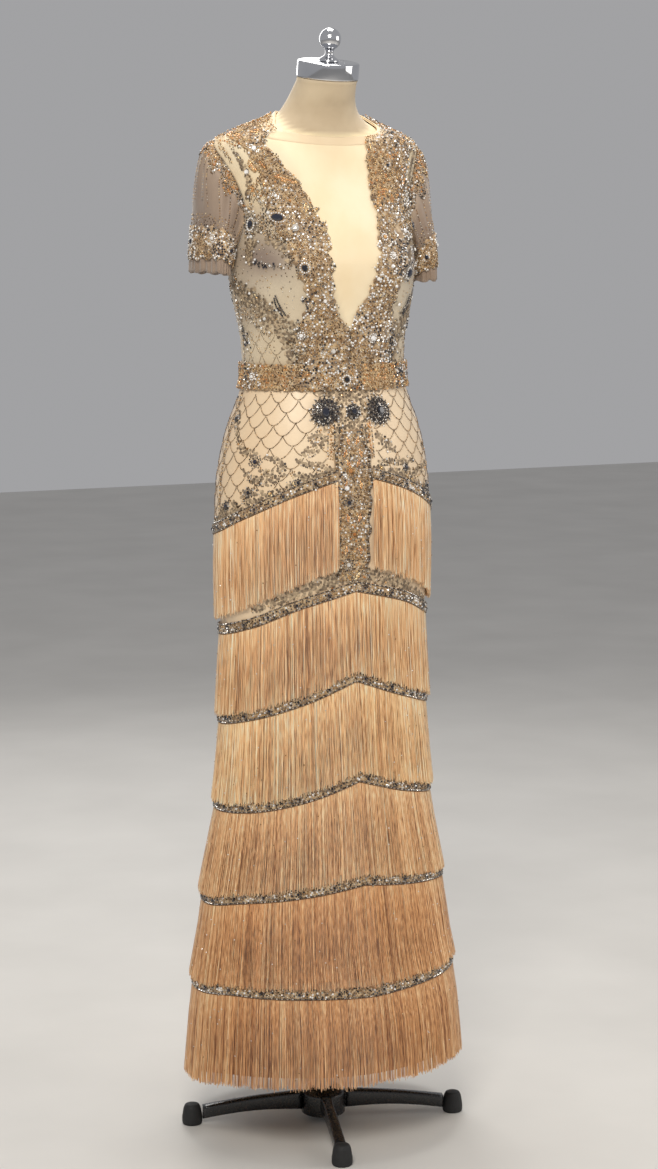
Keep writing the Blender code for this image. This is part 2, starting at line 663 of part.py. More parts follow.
def fringe_tier(name, tier, first, cells, closed, material, group):
    """Locks of fringe that hang from a narrow tape, one lock to a facet of the skirt."""
    shape = bmesh.new()
    edges = []
    for cell in range(cells):
        start = first + FACET * cell
        parting = degrees(LOCK_PARTING / 2 / abs(skirt_point(start, tier_height(tier.roots, start), 0).xy.length))
        edges += [start + parting, start + FACET - parting]
    corners = []
    for turn in edges:
        root = tier_height(tier.roots, turn)
        corners.append([shape.verts.new(skirt_point(turn, height, lift)) for height, lift in (
            (root, TAPE_LIFT + TAPE_WALL), (root + TAPE_HEIGHT, TAPE_LIFT + TAPE_WALL),
            (root + TAPE_HEIGHT, TAPE_LIFT), (root, TAPE_LIFT))])
    spans = len(edges) if closed else len(edges) - 1
    for span in range(spans):
        near, far = corners[span], corners[(span + 1) % len(edges)]
        for side in range(4):
            if side < 3 or span % 2:
                shape.faces.new((near[side], far[side], far[(side + 1) % 4], near[(side + 1) % 4]))
    if not closed:
        shape.faces.new(corners[0])
        shape.faces.new(corners[-1])
    for cell in range(cells):
        middle = first + FACET * (cell + 0.5)
        ragged = LOCK_RAGGED * sin(LOCK_RAGGED_STEP * cell)
        ring = [corners[2 * cell][0], corners[2 * cell][3], corners[2 * cell + 1][3], corners[2 * cell + 1][0]]
        for bend in range(tier.bends + 1):
            fall = (bend + 1) / (tier.bends + 1)
            below = []
            for edge in (2 * cell, 2 * cell + 1):
                turn = middle + (edges[edge] - middle) * (1 - (1 - LOCK_TIP_WIDTH) * fall)
                root, tip = tier_height(tier.roots, turn), tier_height(tier.tips, turn) + ragged
                height = root + (tip - root) * fall
                inner = TAPE_LIFT + (LOCK_TIP_LIFT - TAPE_LIFT) * fall ** LOCK_FLARE
                wall = TAPE_WALL + (LOCK_TIP_WALL - TAPE_WALL) * fall
                below.append([shape.verts.new(skirt_point(turn, height, lift)) for lift in (inner + wall, inner)])
            after = [below[0][0], below[0][1], below[1][1], below[1][0]]
            for side in range(4):
                shape.faces.new((ring[side], ring[(side + 1) % 4], after[(side + 1) % 4], after[side]))
            ring = after
        shape.faces.new(ring)
    bmesh.ops.recalc_face_normals(shape, faces=shape.faces)
    mesh = bpy.data.meshes.new(name)
    shape.to_mesh(mesh)
    shape.free()
    return new_object(name, mesh, material, group)


def fringe_and_bands(materials, group):
    round_turns = [FACET * number for number in range(FACETS_ROUND)]
    split_turns = [FRONT_GAP + FACET * number for number in range(FACETS_ROUND - 1)]
    for number, tier in enumerate(TIERS, start=1):
        split = number == 1
        cells = FACETS_ROUND - 2 if split else FACETS_ROUND
        fringe_tier(f"fringe_{number}", tier, FRONT_GAP if split else 0, cells, not split,
                    materials["fringe"], group)
        trim_band(f"trim_band_{number}", tier, split_turns if split else round_turns, not split,
                  materials["beads"], group)


def belt(material, group):
    """The beaded belt over the waist seam, parted at centre back."""
    end = 180 - seam_turn(section_at(SKIRT_SECTIONS, WAIST_SEAM).half_width)
    turns = [-end] + [FACET * number for number in range(1 - FACETS_ROUND // 2, FACETS_ROUND // 2)] + [end]
    rows = [[skirt_point(turn, height, BELT_LIFT + TRIM_WALL) for turn in turns]
            for height in (BELT_BOTTOM, WAIST_SEAM, BELT_TOP)]
    return cloth("belt", rows, TRIM_WALL, material, group)


def centre_panel(material, group):
    """The beaded panel down centre front, with scalloped sides."""
    rows = []
    for number in range(PANEL_ROWS + 1):
        share = number / PANEL_ROWS
        height = PANEL_BOTTOM + (PANEL_TOP - PANEL_BOTTOM) * share
        half = PANEL_HALF_WIDTH * (1 - PANEL_TAPER * (1 - share)) + PANEL_SCALLOP * (1 if number % 2 else -1)
        spread = degrees(half / skirt_point(90, height, 0).x)
        rows.append([skirt_point(spread * part, height, TRIM_LIFT + TRIM_WALL) for part in (-1, 0, 1)])
    return cloth("centre_panel", rows, TRIM_WALL, material, group)


def rosette(row, material, group):
    """A domed flower of beads that stands on the skirt."""
    turn = degrees(row.offset / skirt_point(90, row.height, 0).x)
    centre = skirt_point(turn, row.height, 0)
    outward = (skirt_point(turn, row.height, 1) - centre).normalized()
    across = Vector((0, 0, 1)).cross(outward).normalized()
    upward = outward.cross(across)
    shape = bmesh.new()
    points = row.petals * 2
    foot, rim = [], []
    for number in range(points):
        angle = 2 * pi * number / points
        reach = row.radius * (1.0 if number % 2 else ROSETTE_NOTCH)
        place = centre + across * (reach * cos(angle)) + upward * (reach * sin(angle))
        side = degrees(place.x / skirt_point(90, place.z, 0).x)
        foot.append(shape.verts.new(skirt_point(side, place.z, ROSETTE_LIFT)))
        rim.append(shape.verts.new(skirt_point(side, place.z, ROSETTE_LIFT + row.rise * ROSETTE_RIM)))
    crown = shape.verts.new(centre + outward * (ROSETTE_LIFT + row.rise * ROSETTE_CROWN))
    base = shape.verts.new(centre + outward * ROSETTE_LIFT)
    for number in range(points):
        after = (number + 1) % points
        shape.faces.new((foot[number], foot[after], rim[after], rim[number]))
        shape.faces.new((rim[number], rim[after], crown))
        shape.faces.new((foot[number], foot[after], base))
    bmesh.ops.recalc_face_normals(shape, faces=shape.faces)
    mesh = bpy.data.meshes.new(row.name)
    shape.to_mesh(mesh)
    shape.free()
    round_off(mesh, 60)
    return new_object(row.name, mesh, material, group)


def applique_rows(inner_edge):
    """An applique on the wearer's left, lobed along both edges."""
    shares = [(height - WAIST_SEAM) / (NECK_SIDE - WAIST_SEAM) for height in BODICE_ROWS]
    halves = [(low + high) / 2 for low, high in zip(shares, shares[1:])]
    low, high = APPLIQUE_ROWS[0].share, APPLIQUE_ROWS[-1].share
    steps = [low] + sorted(share for share in shares + halves if low < share < high) + [high]
    knots = [row.share for row in APPLIQUE_ROWS]
    rows = []
    for number, share in enumerate(steps):
        lobe = APPLIQUE_SCALLOP if number % 2 else -APPLIQUE_SCALLOP
        inner = smooth_at(knots, inner_edge, share)
        outer = smooth_at(knots, [row.outer for row in APPLIQUE_ROWS], share) + lobe
        inner -= lobe if inner > 3 else 0
        turns = [inner + (outer - inner) * part / APPLIQUE_COLUMNS for part in range(APPLIQUE_COLUMNS + 1)]
        rows.append([on_bodice(turn, share, APPLIQUE_LIFT + TRIM_WALL) for turn in turns])
    return rows


def neckline_appliques(material, group):
    """The bands of beadwork on each side of the deep vee of plain net, which sits a little to the wearer's right."""
    left = applique_rows([row.left for row in APPLIQUE_ROWS])
    right = applique_rows([row.right for row in APPLIQUE_ROWS])
    cloth("applique_left", left, TRIM_WALL, material, group)
    cloth("applique_right", mirrored(right), TRIM_WALL, material, group)


def build():
    clear_scene()
    group = make_collection("fringed_gown_on_form")
    materials = {
        "form": finish("cream jersey", (0.86, 0.76, 0.58), 0.75),
        "chrome": finish("polished chrome", (0.80, 0.80, 0.82), 0.10, 1.0),
        "steel": finish("brushed steel", (0.55, 0.55, 0.57), 0.35, 1.0),
        "black": finish("black enamel", (0.010, 0.010, 0.012), 0.25),
        "rubber": finish("black rubber", (0.015, 0.015, 0.016), 0.65),
        "net": finish("stretch net", (0.72, 0.60, 0.47), 0.80),
        "lining": finish("ivory lining", (0.84, 0.72, 0.55), 0.70),
        "fringe": finish("copper fringe", (0.58, 0.33, 0.16), 0.45),
        "beads": finish("bronze beadwork", (0.36, 0.25, 0.13), 0.35, 0.6),
    }
    form_torso(materials["form"], group)
    neck_cap(materials["chrome"], group)
    finial(materials["chrome"], group)
    stand(materials, group)
    bodice_panel("bodice_front", -90, 90, materials["net"], group)
    bodice_panel("bodice_back_left", 90, 180, materials["net"], group)
    bodice_panel("bodice_back_right", -180, -90, materials["net"], group)
    skirt_panel("skirt_front", -90, 90, materials["lining"], group)
    skirt_panel("skirt_back_left", 90, 180, materials["lining"], group)
    skirt_panel("skirt_back_right", -180, -90, materials["lining"], group)
    sleeves(materials, group)
    fringe_and_bands(materials, group)
    belt(materials["beads"], group)
    centre_panel(materials["beads"], group)
    neckline_appliques(materials["beads"], group)
    for row in ROSETTES:
        rosette(row, materials["beads"], group)


build()
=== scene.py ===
import math

import bmesh
import bpy
import numpy as np
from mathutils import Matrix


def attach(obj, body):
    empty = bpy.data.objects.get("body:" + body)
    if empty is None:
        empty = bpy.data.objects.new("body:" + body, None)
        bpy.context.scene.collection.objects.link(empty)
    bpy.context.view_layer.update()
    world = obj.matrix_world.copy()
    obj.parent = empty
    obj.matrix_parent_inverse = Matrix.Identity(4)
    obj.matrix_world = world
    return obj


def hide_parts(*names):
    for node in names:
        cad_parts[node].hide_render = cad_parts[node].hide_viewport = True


# A beaded gown with tiers of fringe, on a dress form with a stand. Metres, the front faces -Y and the wearer's
# left is +X. A turn is an angle round the gown in degrees, 0 at centre front and 90 at the wearer's left.

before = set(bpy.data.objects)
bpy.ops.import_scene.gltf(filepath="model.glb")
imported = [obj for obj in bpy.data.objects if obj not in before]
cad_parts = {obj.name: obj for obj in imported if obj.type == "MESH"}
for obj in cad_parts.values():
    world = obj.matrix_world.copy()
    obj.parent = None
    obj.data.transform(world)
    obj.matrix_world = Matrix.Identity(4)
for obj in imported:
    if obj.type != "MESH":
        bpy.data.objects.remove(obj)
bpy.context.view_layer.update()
print("frame loaded:", len(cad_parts), "nodes")


# small tools


def curveThrough(knots, values):
    # a smooth curve through the knots that never overshoots them
    knots, values = np.asarray(knots, float), np.asarray(values, float)
    spans = np.diff(knots)
    secants = np.diff(values) / spans
    slopes = np.concatenate([secants[:1], np.zeros(len(knots) - 2), secants[-1:]])
    product, total = secants[:-1] * secants[1:], secants[:-1] + secants[1:]
    rising = product > 0
    slopes[1:-1][rising] = 2 * product[rising] / total[rising]

    def at(place):
        place = np.clip(place, knots[0], knots[-1])
        cell = np.clip(np.searchsorted(knots, place) - 1, 0, len(spans) - 1)
        span = spans[cell]
        t = (place - knots[cell]) / span
        near = values[cell] * (1 + 2 * t) * (1 - t) ** 2 + span * slopes[cell] * t * (1 - t) ** 2
        return near + values[cell + 1] * t * t * (3 - 2 * t) + span * slopes[cell + 1] * t * t * (t - 1)

    return at


def unit(vectors):
    return vectors / np.maximum(np.linalg.norm(vectors, axis=-1, keepdims=True), 1e-12)


def wrapTurn(turn):
    return (np.asarray(turn, float) + 180) % 360 - 180


def ripple(along, seed, waves=(1, 2, 3, 5, 8)):
    # a smooth random line that closes on itself every 360 degrees, about -1 to 1
    local = np.random.default_rng(seed)
    total = np.zeros(np.shape(along))
    for wave in waves:
        total = total + local.uniform(0.4, 1) * np.sin(np.radians(wave * along) + local.uniform(0, 6.28))
    return total / math.sqrt(len(waves))


def lengthsAlong(points):
    # the length of a line of points up to each of them
    return np.concatenate([[0], np.cumsum(np.linalg.norm(np.diff(points, axis=0), axis=-1))])


def sideName(side):
    return "Left" if side > 0 else "Right"


def forSide(grid, side):
    # on the wearer's right the columns run the other way, so the faces still point outwards
    return grid if side > 0 else grid[:, ::-1]


def meshFrom(name, points, faces, smooth=True, materialIndex=None):
    points = np.asarray(points, np.float32).reshape(-1, 3)
    faces = np.asarray(faces, np.int32)
    sides = faces.shape[1]
    mesh = bpy.data.meshes.new(name)
    mesh.vertices.add(len(points))
    mesh.vertices.foreach_set("co", points.ravel())
    mesh.loops.add(faces.size)
    mesh.loops.foreach_set("vertex_index", faces.ravel())
    mesh.polygons.add(len(faces))
    mesh.polygons.foreach_set("loop_start", np.arange(0, faces.size, sides, dtype=np.int32))
    mesh.polygons.foreach_set("use_smooth", np.broadcast_to(np.asarray(smooth, bool), len(faces)).copy())
    if materialIndex is not None:
        mesh.polygons.foreach_set("material_index", np.asarray(materialIndex, np.int32))
    mesh.update(calc_edges=True)
    return mesh


def gridFaces(rows, columns, closed):
    across = np.arange(columns if closed else columns - 1)
    down = np.arange(rows - 1)[:, None] * columns
    after = (across + 1) % columns
    corners = [down + across, down + after, down + columns + after, down + columns + across]
    return np.stack(corners, -1).reshape(-1, 4)


def addPiece(name, mesh, materials, replaces=()):
    piece = bpy.data.objects.new(name, mesh)
    bpy.context.scene.collection.objects.link(piece)
    for material in materials if isinstance(materials, (list, tuple)) else [materials]:
        mesh.materials.append(material)
    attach(piece, "root")
    if replaces:
        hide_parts(*replaces)
    return piece


def addSheet(name, grid, material, wall=0.0, closed=False, replaces=()):
    # a sheet through a grid of points, rows by columns, with its outer face on them
    rows, columns = grid.shape[:2]
    piece = addPiece(name, meshFrom(name, grid, gridFaces(rows, columns, closed)), material, replaces)
    if wall:
        addWall(piece, wall)
    return piece


def addWall(piece, wall):
    # inwards from the outer face
    thickness = piece.modifiers.new("wall", "SOLIDIFY")
    thickness.thickness, thickness.offset = wall, -1


def setAttribute(mesh, name, values):
    layer = mesh.attributes.new(name, "FLOAT", "POINT")
    layer.data.foreach_set("value", np.asarray(values, np.float32).ravel())


# finishes


def srgb(red, green, blue):
    # a colour as it is seen, from 0 to 255, as Blender's linear values
    return tuple((c / 255 / 12.92) if c <= 10 else ((c / 255 + 0.055) / 1.055) ** 2.4 for c in (red, green, blue))


def addNode(tree, kind, sockets=(), **settings):
    node = tree.nodes.new(kind)
    for key, value in settings.items():
        setattr(node, key, value)
    for key, value in dict(sockets).items():
        if isinstance(value, bpy.types.NodeSocket):
            tree.links.new(value, node.inputs[key])
        else:
            node.inputs[key].default_value = value
    return node


def addRamp(tree, factor, stops):
    # each stop is a place from 0 to 1 and its colour as it is seen
    ramp = addNode(tree, "ShaderNodeValToRGB", {"Fac": factor})
    band = ramp.color_ramp
    while len(band.elements) < len(stops):
        band.elements.new(0.5)
    for element, (place, *colour) in zip(band.elements, stops):
        element.position = place
        element.color = (*srgb(*colour), 1)
    return ramp.outputs["Color"]


def addNoise(tree, grain, detail=2.0, coords=None, scale=1.0):
    if coords is None:
        coords = addNode(tree, "ShaderNodeTexCoord").outputs["Object"]
    mapping = addNode(tree, "ShaderNodeMapping", {"Vector": coords, "Scale": grain})
    return addNode(tree, "ShaderNodeTexNoise", {"Vector": mapping.outputs["Vector"], "Scale": scale,
                                                "Detail": detail}).outputs["Fac"]


def spread(tree, factor, low, high, fromLow=0.3, fromHigh=0.7):
    return addNode(tree, "ShaderNodeMapRange", {"Value": factor, "From Min": fromLow, "From Max": fromHigh,
                                                "To Min": low, "To Max": high}).outputs["Result"]


def addBump(tree, height, depth, strength=1.0):
    bump = addNode(tree, "ShaderNodeBump", {"Height": height, "Distance": depth, "Strength": strength})
    return bump.outputs["Normal"]


def startMaterial(name, sockets):
    material = bpy.data.materials.new(name)
    material.use_nodes = True
    shader = material.node_tree.nodes["Principled BSDF"]
    for key, value in sockets.items():
        shader.inputs[key].default_value = value
    return material, material.node_tree, shader


def grainMaterial(name, look):
    # colour and roughness that drift with a coarse grain, and a fine grain in relief
    material, tree, shader = startMaterial(name, look.get("sockets", {}))
    drift = addNoise(tree, look["drift"], 3)
    grain = addNoise(tree, look["grain"], 2)
    tree.links.new(addRamp(tree, drift, look["colours"]), shader.inputs["Base Color"])
    tree.links.new(spread(tree, grain, *look["roughness"]), shader.inputs["Roughness"])
    tree.links.new(addBump(tree, grain, look["relief"], look.get("strength", 0.5)), shader.inputs["Normal"])
    return material


def beadMaterial(name, look):
    # every bead takes its own shade from a short range; the near-white top of a range is painted glint
    material, tree, shader = startMaterial(name, look["sockets"])
    island = addNode(tree, "ShaderNodeNewGeometry").outputs["Random Per Island"]
    tree.links.new(addRamp(tree, island, look["colours"]), shader.inputs["Base Color"])
    tree.links.new(spread(tree, island, *look["roughness"], 0, 1), shader.inputs["Roughness"])
    return material


finishLooks = {
    "chrome": {
        "colours": [(0.3, 205, 207, 212), (0.7, 232, 233, 236)],
        "drift": (9, 9, 9), "grain": (300, 300, 40), "roughness": (0.05, 0.12), "relief": 0.00002,
        "sockets": {"Metallic": 1.0},
    },
    "steelTube": {
        "colours": [(0.3, 150, 151, 154), (0.7, 190, 191, 193)],
        "drift": (40, 40, 3), "grain": (900, 900, 12), "roughness": (0.26, 0.42), "relief": 0.00004,
        "sockets": {"Metallic": 1.0},
    },
    "blackEnamel": {
        "colours": [(0.3, 16, 16, 18), (0.7, 27, 27, 30)],
        "drift": (25, 25, 25), "grain": (260, 260, 260), "roughness": (0.2, 0.36), "relief": 0.0002,
        "sockets": {"Coat Weight": 0.4, "Coat Roughness": 0.15},
    },
    "blackRubber": {
        "colours": [(0.3, 22, 22, 23), (0.7, 36, 36, 37)],
        "drift": (30, 30, 30), "grain": (700, 700, 700), "roughness": (0.6, 0.8), "relief": 0.0001,
    },
    "satinLining": {
        "colours": [(0.3, 232, 203, 166), (0.7, 244, 221, 188)],
        "drift": (8, 8, 5), "grain": (60, 60, 14), "roughness": (0.34, 0.5), "relief": 0.0006,
        "sockets": {"Sheen Weight": 0.2},
    },
    "beadedTulle": {
        "colours": [(0.35, 134, 108, 80), (0.5, 176, 146, 110), (0.65, 208, 182, 144)],
        "drift": (140, 140, 140), "grain": (600, 600, 600), "roughness": (0.45, 0.75), "relief": 0.0008,
        "strength": 0.8, "sockets": {"Sheen Weight": 0.3},
    },
    "darkTulle": {
        "colours": [(0.35, 48, 42, 38), (0.5, 78, 68, 60), (0.65, 112, 98, 84)],
        "drift": (140, 140, 140), "grain": (600, 600, 600), "roughness": (0.45, 0.75), "relief": 0.0008,
        "strength": 0.8,
    },
}
finishes = {name: grainMaterial(name, look) for name, look in finishLooks.items()}

# the near-white top stops of the gold, silver and grey glass ranges are painted glints, and the crystal's near-white
# is partly its own colour and partly painted glint
beadLooks = {
    "goldSeed": {"colours": [(0.0, 146, 108, 64), (0.4, 200, 156, 102), (0.75, 236, 202, 146),
                             (1.0, 255, 240, 200)],
                 "roughness": (0.18, 0.36), "sockets": {"Metallic": 0.55}},
    "bronzeSeed": {"colours": [(0.0, 70, 54, 40), (0.5, 120, 94, 68), (0.85, 172, 140, 102),
                               (1.0, 230, 200, 156)],
                   "roughness": (0.2, 0.4), "sockets": {"Metallic": 0.5}},
    "silverSeed": {"colours": [(0.0, 92, 84, 76), (0.3, 150, 140, 128), (0.6, 218, 208, 194),
                               (1.0, 255, 250, 240)],
                   "roughness": (0.1, 0.28), "sockets": {"Metallic": 0.5}},
    "crystal": {"colours": [(0.0, 206, 200, 192), (0.3, 250, 248, 244), (1.0, 255, 255, 255)],
                "roughness": (0.08, 0.2), "sockets": {"Metallic": 0.1, "Coat Weight": 1.0, "Coat Roughness": 0.03}},
    "greyGlass": {"colours": [(0.0, 48, 47, 50), (0.45, 104, 100, 98), (0.8, 180, 172, 164),
                              (1.0, 250, 246, 240)],
                  "roughness": (0.04, 0.14), "sockets": {"Metallic": 0.5, "Coat Weight": 0.8,
                                                         "Coat Roughness": 0.04}},
    "darkStone": {"colours": [(0.0, 12, 14, 22), (1.0, 34, 38, 56)],
                  "roughness": (0.03, 0.08), "sockets": {"Coat Weight": 1.0, "Coat Roughness": 0.02}},
    "amberStone": {"colours": [(0.0, 176, 112, 58), (0.6, 222, 162, 98), (1.0, 246, 198, 138)],
                   "roughness": (0.06, 0.16), "sockets": {"Coat Weight": 0.8, "Metallic": 0.2}},
    "stitching": {"colours": [(0.0, 96, 82, 66), (0.5, 146, 126, 102), (1.0, 200, 178, 146)],
                  "roughness": (0.4, 0.7), "sockets": {"Metallic": 0.1}},
}
beadMaterials = [beadMaterial(name, look) for name, look in beadLooks.items()]
beadIndex = {name: number for number, name in enumerate(beadLooks)}


def jerseyMaterial(look):
    # cream jersey, tan above the neckline, with a fine knit
    material, tree, shader = startMaterial("formJersey", look["sockets"])
    coords = addNode(tree, "ShaderNodeTexCoord").outputs["Object"]
    cream = addRamp(tree, addNoise(tree, (7, 7, 7), 3, coords), look["cream"])
    tan = addRamp(tree, addNoise(tree, (20, 20, 20), 3, coords), look["tan"])
    above = addNode(tree, "ShaderNodeAttribute", attribute_name="bare").outputs["Fac"]
    blend = addNode(tree, "ShaderNodeMixRGB", {"Fac": above, "Color1": cream, "Color2": tan})
    tree.links.new(blend.outputs["Color"], shader.inputs["Base Color"])
    knit = addNode(tree, "ShaderNodeTexWave", {"Vector": coords, "Scale": look["knit"], "Distortion": 1.5})
    tree.links.new(addBump(tree, knit.outputs["Fac"], 0.0001, 0.5), shader.inputs["Normal"])
    return material


jersey = jerseyMaterial({
    "cream": [(0.3, 246, 226, 182), (0.7, 252, 238, 204)],
    "tan": [(0.3, 196, 176, 146), (0.7, 212, 194, 164)],
    "knit": 420,
    "sockets": {"Roughness": 0.82, "Sheen Weight": 0.25},
})


def netMaterial(name, look):
    # stretch net: warm over the open vee, mauve-grey where the veilAndShade attribute is high; on the bodice that
    # mauve-grey is partly the net's tint and partly painted shade
    material, tree, shader = startMaterial(name, look["sockets"])
    veilAndShade = addNode(tree, "ShaderNodeAttribute", attribute_name="veilAndShade").outputs["Fac"]
    coords = addNode(tree, "ShaderNodeTexCoord").outputs["Object"]
    drift = addNoise(tree, (14, 14, 9), 4, coords)
    warm = addRamp(tree, drift, look["warm"])
    cool = addRamp(tree, drift, look["cool"])
    blend = addNode(tree, "ShaderNodeMixRGB", {"Fac": veilAndShade, "Color1": warm, "Color2": cool})
    tree.links.new(blend.outputs["Color"], shader.inputs["Base Color"])
    weave = addNode(tree, "ShaderNodeTexVoronoi", {"Vector": coords, "Scale": 900})
    tree.links.new(addBump(tree, weave.outputs["Distance"], 0.0002, 0.6), shader.inputs["Normal"])
    return material


# the bodice's mauve-grey is dark because it carries painted shade under the bust and at the sides
bodiceNet = netMaterial("bodiceNet", {
    "warm": [(0.3, 246, 224, 184), (0.7, 253, 238, 206)],
    "cool": [(0.3, 126, 110, 100), (0.7, 150, 132, 118)],
    "sockets": {"Roughness": 0.62, "Sheen Weight": 0.3},
})
neckNet = netMaterial("neckNet", {
    "warm": [(0.3, 238, 214, 176), (0.7, 246, 226, 192)],
    "cool": [(0.3, 206, 180, 150), (0.7, 216, 192, 160)],
    "sockets": {"Roughness": 0.62, "Sheen Weight": 0.3},
})
sleeveNet = netMaterial("sleeveNet", {
    "warm": [(0.3, 206, 180, 152), (0.7, 226, 202, 172)],
    "cool": [(0.3, 146, 126, 112), (0.7, 176, 154, 134)],
    "sockets": {"Roughness": 0.6, "Sheen Weight": 0.45, "Alpha": 0.78},
})


def fringeMaterial(number, look):
    # lustrous strands: each has its own shade, with painted highlights: brighter at its root and tip, and in short
    # dashes along it
    material, tree, shader = startMaterial(f"fringeThread{number}", look["sockets"])
    tone = addNode(tree, "ShaderNodeAttribute", attribute_name="tone").outputs["Fac"]
    # painted highlight: fine noise stretched down the strands brightens and darkens short dashes of them
    highlightStreaks = spread(tree, addNoise(tree, (520, 520, 24), 2), -0.30, 0.30)
    shade = addNode(tree, "ShaderNodeMath", {0: tone, 1: highlightStreaks}, operation="ADD", use_clamp=True)
    tree.links.new(addRamp(tree, shade.outputs["Value"], look["colours"]), shader.inputs["Base Color"])
    tree.links.new(spread(tree, tone, 0.5, 0.3, 0, 1), shader.inputs["Roughness"])
    twist = addNoise(tree, (500, 500, 90), 2)
    tree.links.new(addBump(tree, twist, 0.0003, 0.6), shader.inputs["Normal"])
    return material


print("finishes made:", len(bpy.data.materials))


# the body under the gown, and the gown's surfaces

# height, half width, reach to the front and back, y of the widest point, forward lean
formSections = [
    (0.830, 0.150, 0.098, 0.104, 0.000, 0), (0.880, 0.159, 0.104, 0.112, 0.000, 0),
    (0.940, 0.163, 0.107, 0.116, 0.000, 0), (1.000, 0.160, 0.106, 0.113, 0.000, 0),
    (1.060, 0.146, 0.102, 0.101, 0.000, 0), (1.110, 0.129, 0.096, 0.086, 0.000, 0),
    (1.155, 0.122, 0.088, 0.080, 0.000, 0), (1.200, 0.123, 0.090, 0.084, 0.002, 0),
    (1.245, 0.130, 0.099, 0.090, 0.005, 0), (1.285, 0.137, 0.110, 0.097, 0.009, 0),
    (1.315, 0.140, 0.115, 0.100, 0.012, 0), (1.350, 0.139, 0.108, 0.103, 0.016, 0),
    (1.390, 0.138, 0.092, 0.104, 0.022, 0), (1.430, 0.146, 0.074, 0.100, 0.030, 0),
    (1.468, 0.159, 0.057, 0.092, 0.035, 0), (1.484, 0.163, 0.048, 0.086, 0.036, 0),
    (1.4935, 0.156, 0.043, 0.082, 0.035, 0), (1.4995, 0.141, 0.040, 0.079, 0.034, 0),
    (1.5125, 0.106, 0.036, 0.074, 0.028, 0), (1.5245, 0.077, 0.034, 0.070, 0.021, 0),
    (1.537, 0.062, 0.036, 0.068, 0.016, 0), (1.560, 0.050, 0.047, 0.052, 0.003, 5),
    (1.5849, 0.0445, 0.0597, 0.0279, -0.0159, 10),
]
formCurves = [curveThrough([row[0] for row in formSections], column) for column in list(zip(*formSections))[1:]]
bust = {"rise": 0.008, "turn": 33.0, "turnSpread": 17.0, "height": 1.310, "heightSpread": 0.042}

# height, half width, reach to the front and to the back
skirtSections = [
    (0.080, 0.2100, 0.1950, 0.1790), (0.165, 0.2060, 0.1890, 0.1750), (0.210, 0.2040, 0.1830, 0.1720),
    (0.250, 0.2010, 0.1740, 0.1680), (0.315, 0.1920, 0.1580, 0.1560), (0.370, 0.1880, 0.1500, 0.1490),
    (0.441, 0.1770, 0.1400, 0.1410), (0.504, 0.1680, 0.1310, 0.1330), (0.600, 0.1620, 0.1210, 0.1230),
    (0.670, 0.1610, 0.1160, 0.1200), (0.766, 0.1600, 0.1120, 0.1170), (0.860, 0.1650, 0.1120, 0.1190),
    (0.950, 0.1680, 0.1140, 0.1210), (0.994, 0.1660, 0.1130, 0.1180), (1.039, 0.1590, 0.1110, 0.1110),
    (1.084, 0.1470, 0.1060, 0.1000), (1.106, 0.1380, 0.1020, 0.0940), (1.130, 0.1300, 0.0970, 0.0880),
    (1.1535, 0.1252, 0.0915, 0.0830), (1.175, 0.1250, 0.0915, 0.0835),
]
skirtCurves = [curveThrough([row[0] for row in skirtSections], column) for column in list(zip(*skirtSections))[1:]]

gown = {
    "waistSeam": 1.1535, "skirtEnd": 0.165, "neckFront": 1.4975, "neckSide": 1.5315, "neckBack": 1.535,
    "underarm": 1.333, "shoulderTip": 1.493, "armholeInset": 21.0, "bodiceLift": 0.0037,
}


def formPoint(turn, height):
    turn, height = np.broadcast_arrays(np.asarray(turn, float), np.asarray(height, float))
    side, forward = np.sin(np.radians(turn)), np.cos(np.radians(turn))
    width, front, back, middle, lean = (curve(height) for curve in formCurves)
    across = (np.abs(turn) - bust["turn"]) / bust["turnSpread"]
    along = (height - bust["height"]) / bust["heightSpread"]
    rise = bust["rise"] * np.exp(-across ** 2 - along ** 2)
    reach = np.where(forward > 0, front + middle, back - middle) + rise
    y = middle - reach * forward
    return np.stack([(width + rise) * side, y, height + (y - middle) * np.tan(np.radians(lean))], -1)


def formNormal(turn, height):
    around = formPoint(turn + 0.5, height) - formPoint(turn - 0.5, height)
    upward = formPoint(turn, height + 0.0015) - formPoint(turn, height - 0.0015)
    return unit(np.cross(around, upward))


def necklineHeight(turn):
    mean = (gown["neckFront"] + 2 * gown["neckSide"] + gown["neckBack"]) / 4
    swing = (gown["neckFront"] - gown["neckBack"]) / 2
    angle = np.radians(turn)
    return mean + swing * np.cos(angle) + (mean - gown["neckSide"]) * np.cos(2 * angle)


def armholeInset(height):
    share = np.clip((height - gown["underarm"]) / (gown["shoulderTip"] - gown["underarm"]), 0, 1)
    return gown["armholeInset"] * np.sqrt(4 * share * (1 - share))


def bodicePlace(turn, share):
    turn = np.asarray(turn, float)
    height = gown["waistSeam"] + share * (necklineHeight(turn) - gown["waistSeam"])
    kept = 1 - armholeInset(height) / 90
    behind = np.where(turn >= 0, 1, -1) * (180 - (180 - np.abs(turn)) * kept)
    return np.where(np.abs(turn) <= 90, turn * kept, behind), height


def bodicePoint(turn, share, lift=0.0):
    # lifted off the bodice's outer face; share runs from the waist seam to the neckline
    squeezed, height = bodicePlace(turn, share)
    raised = (gown["bodiceLift"] + np.asarray(lift))[..., None]
    return formPoint(squeezed, height) + formNormal(squeezed, height) * raised


def skirtPoint(turn, height, lift=0.0):
    turn, height, lift = np.broadcast_arrays(*(np.asarray(v, float) for v in (turn, height, lift)))
    side, forward = np.sin(np.radians(turn)), np.cos(np.radians(turn))
    width, front, back = (curve(height) for curve in skirtCurves)
    reach = np.where(forward > 0, front, back)
    outward = unit(np.stack([reach * side, -width * forward], -1))
    flat = np.stack([width * side, -reach * forward], -1) + outward * lift[..., None]
    return np.concatenate([flat, height[..., None]], -1)


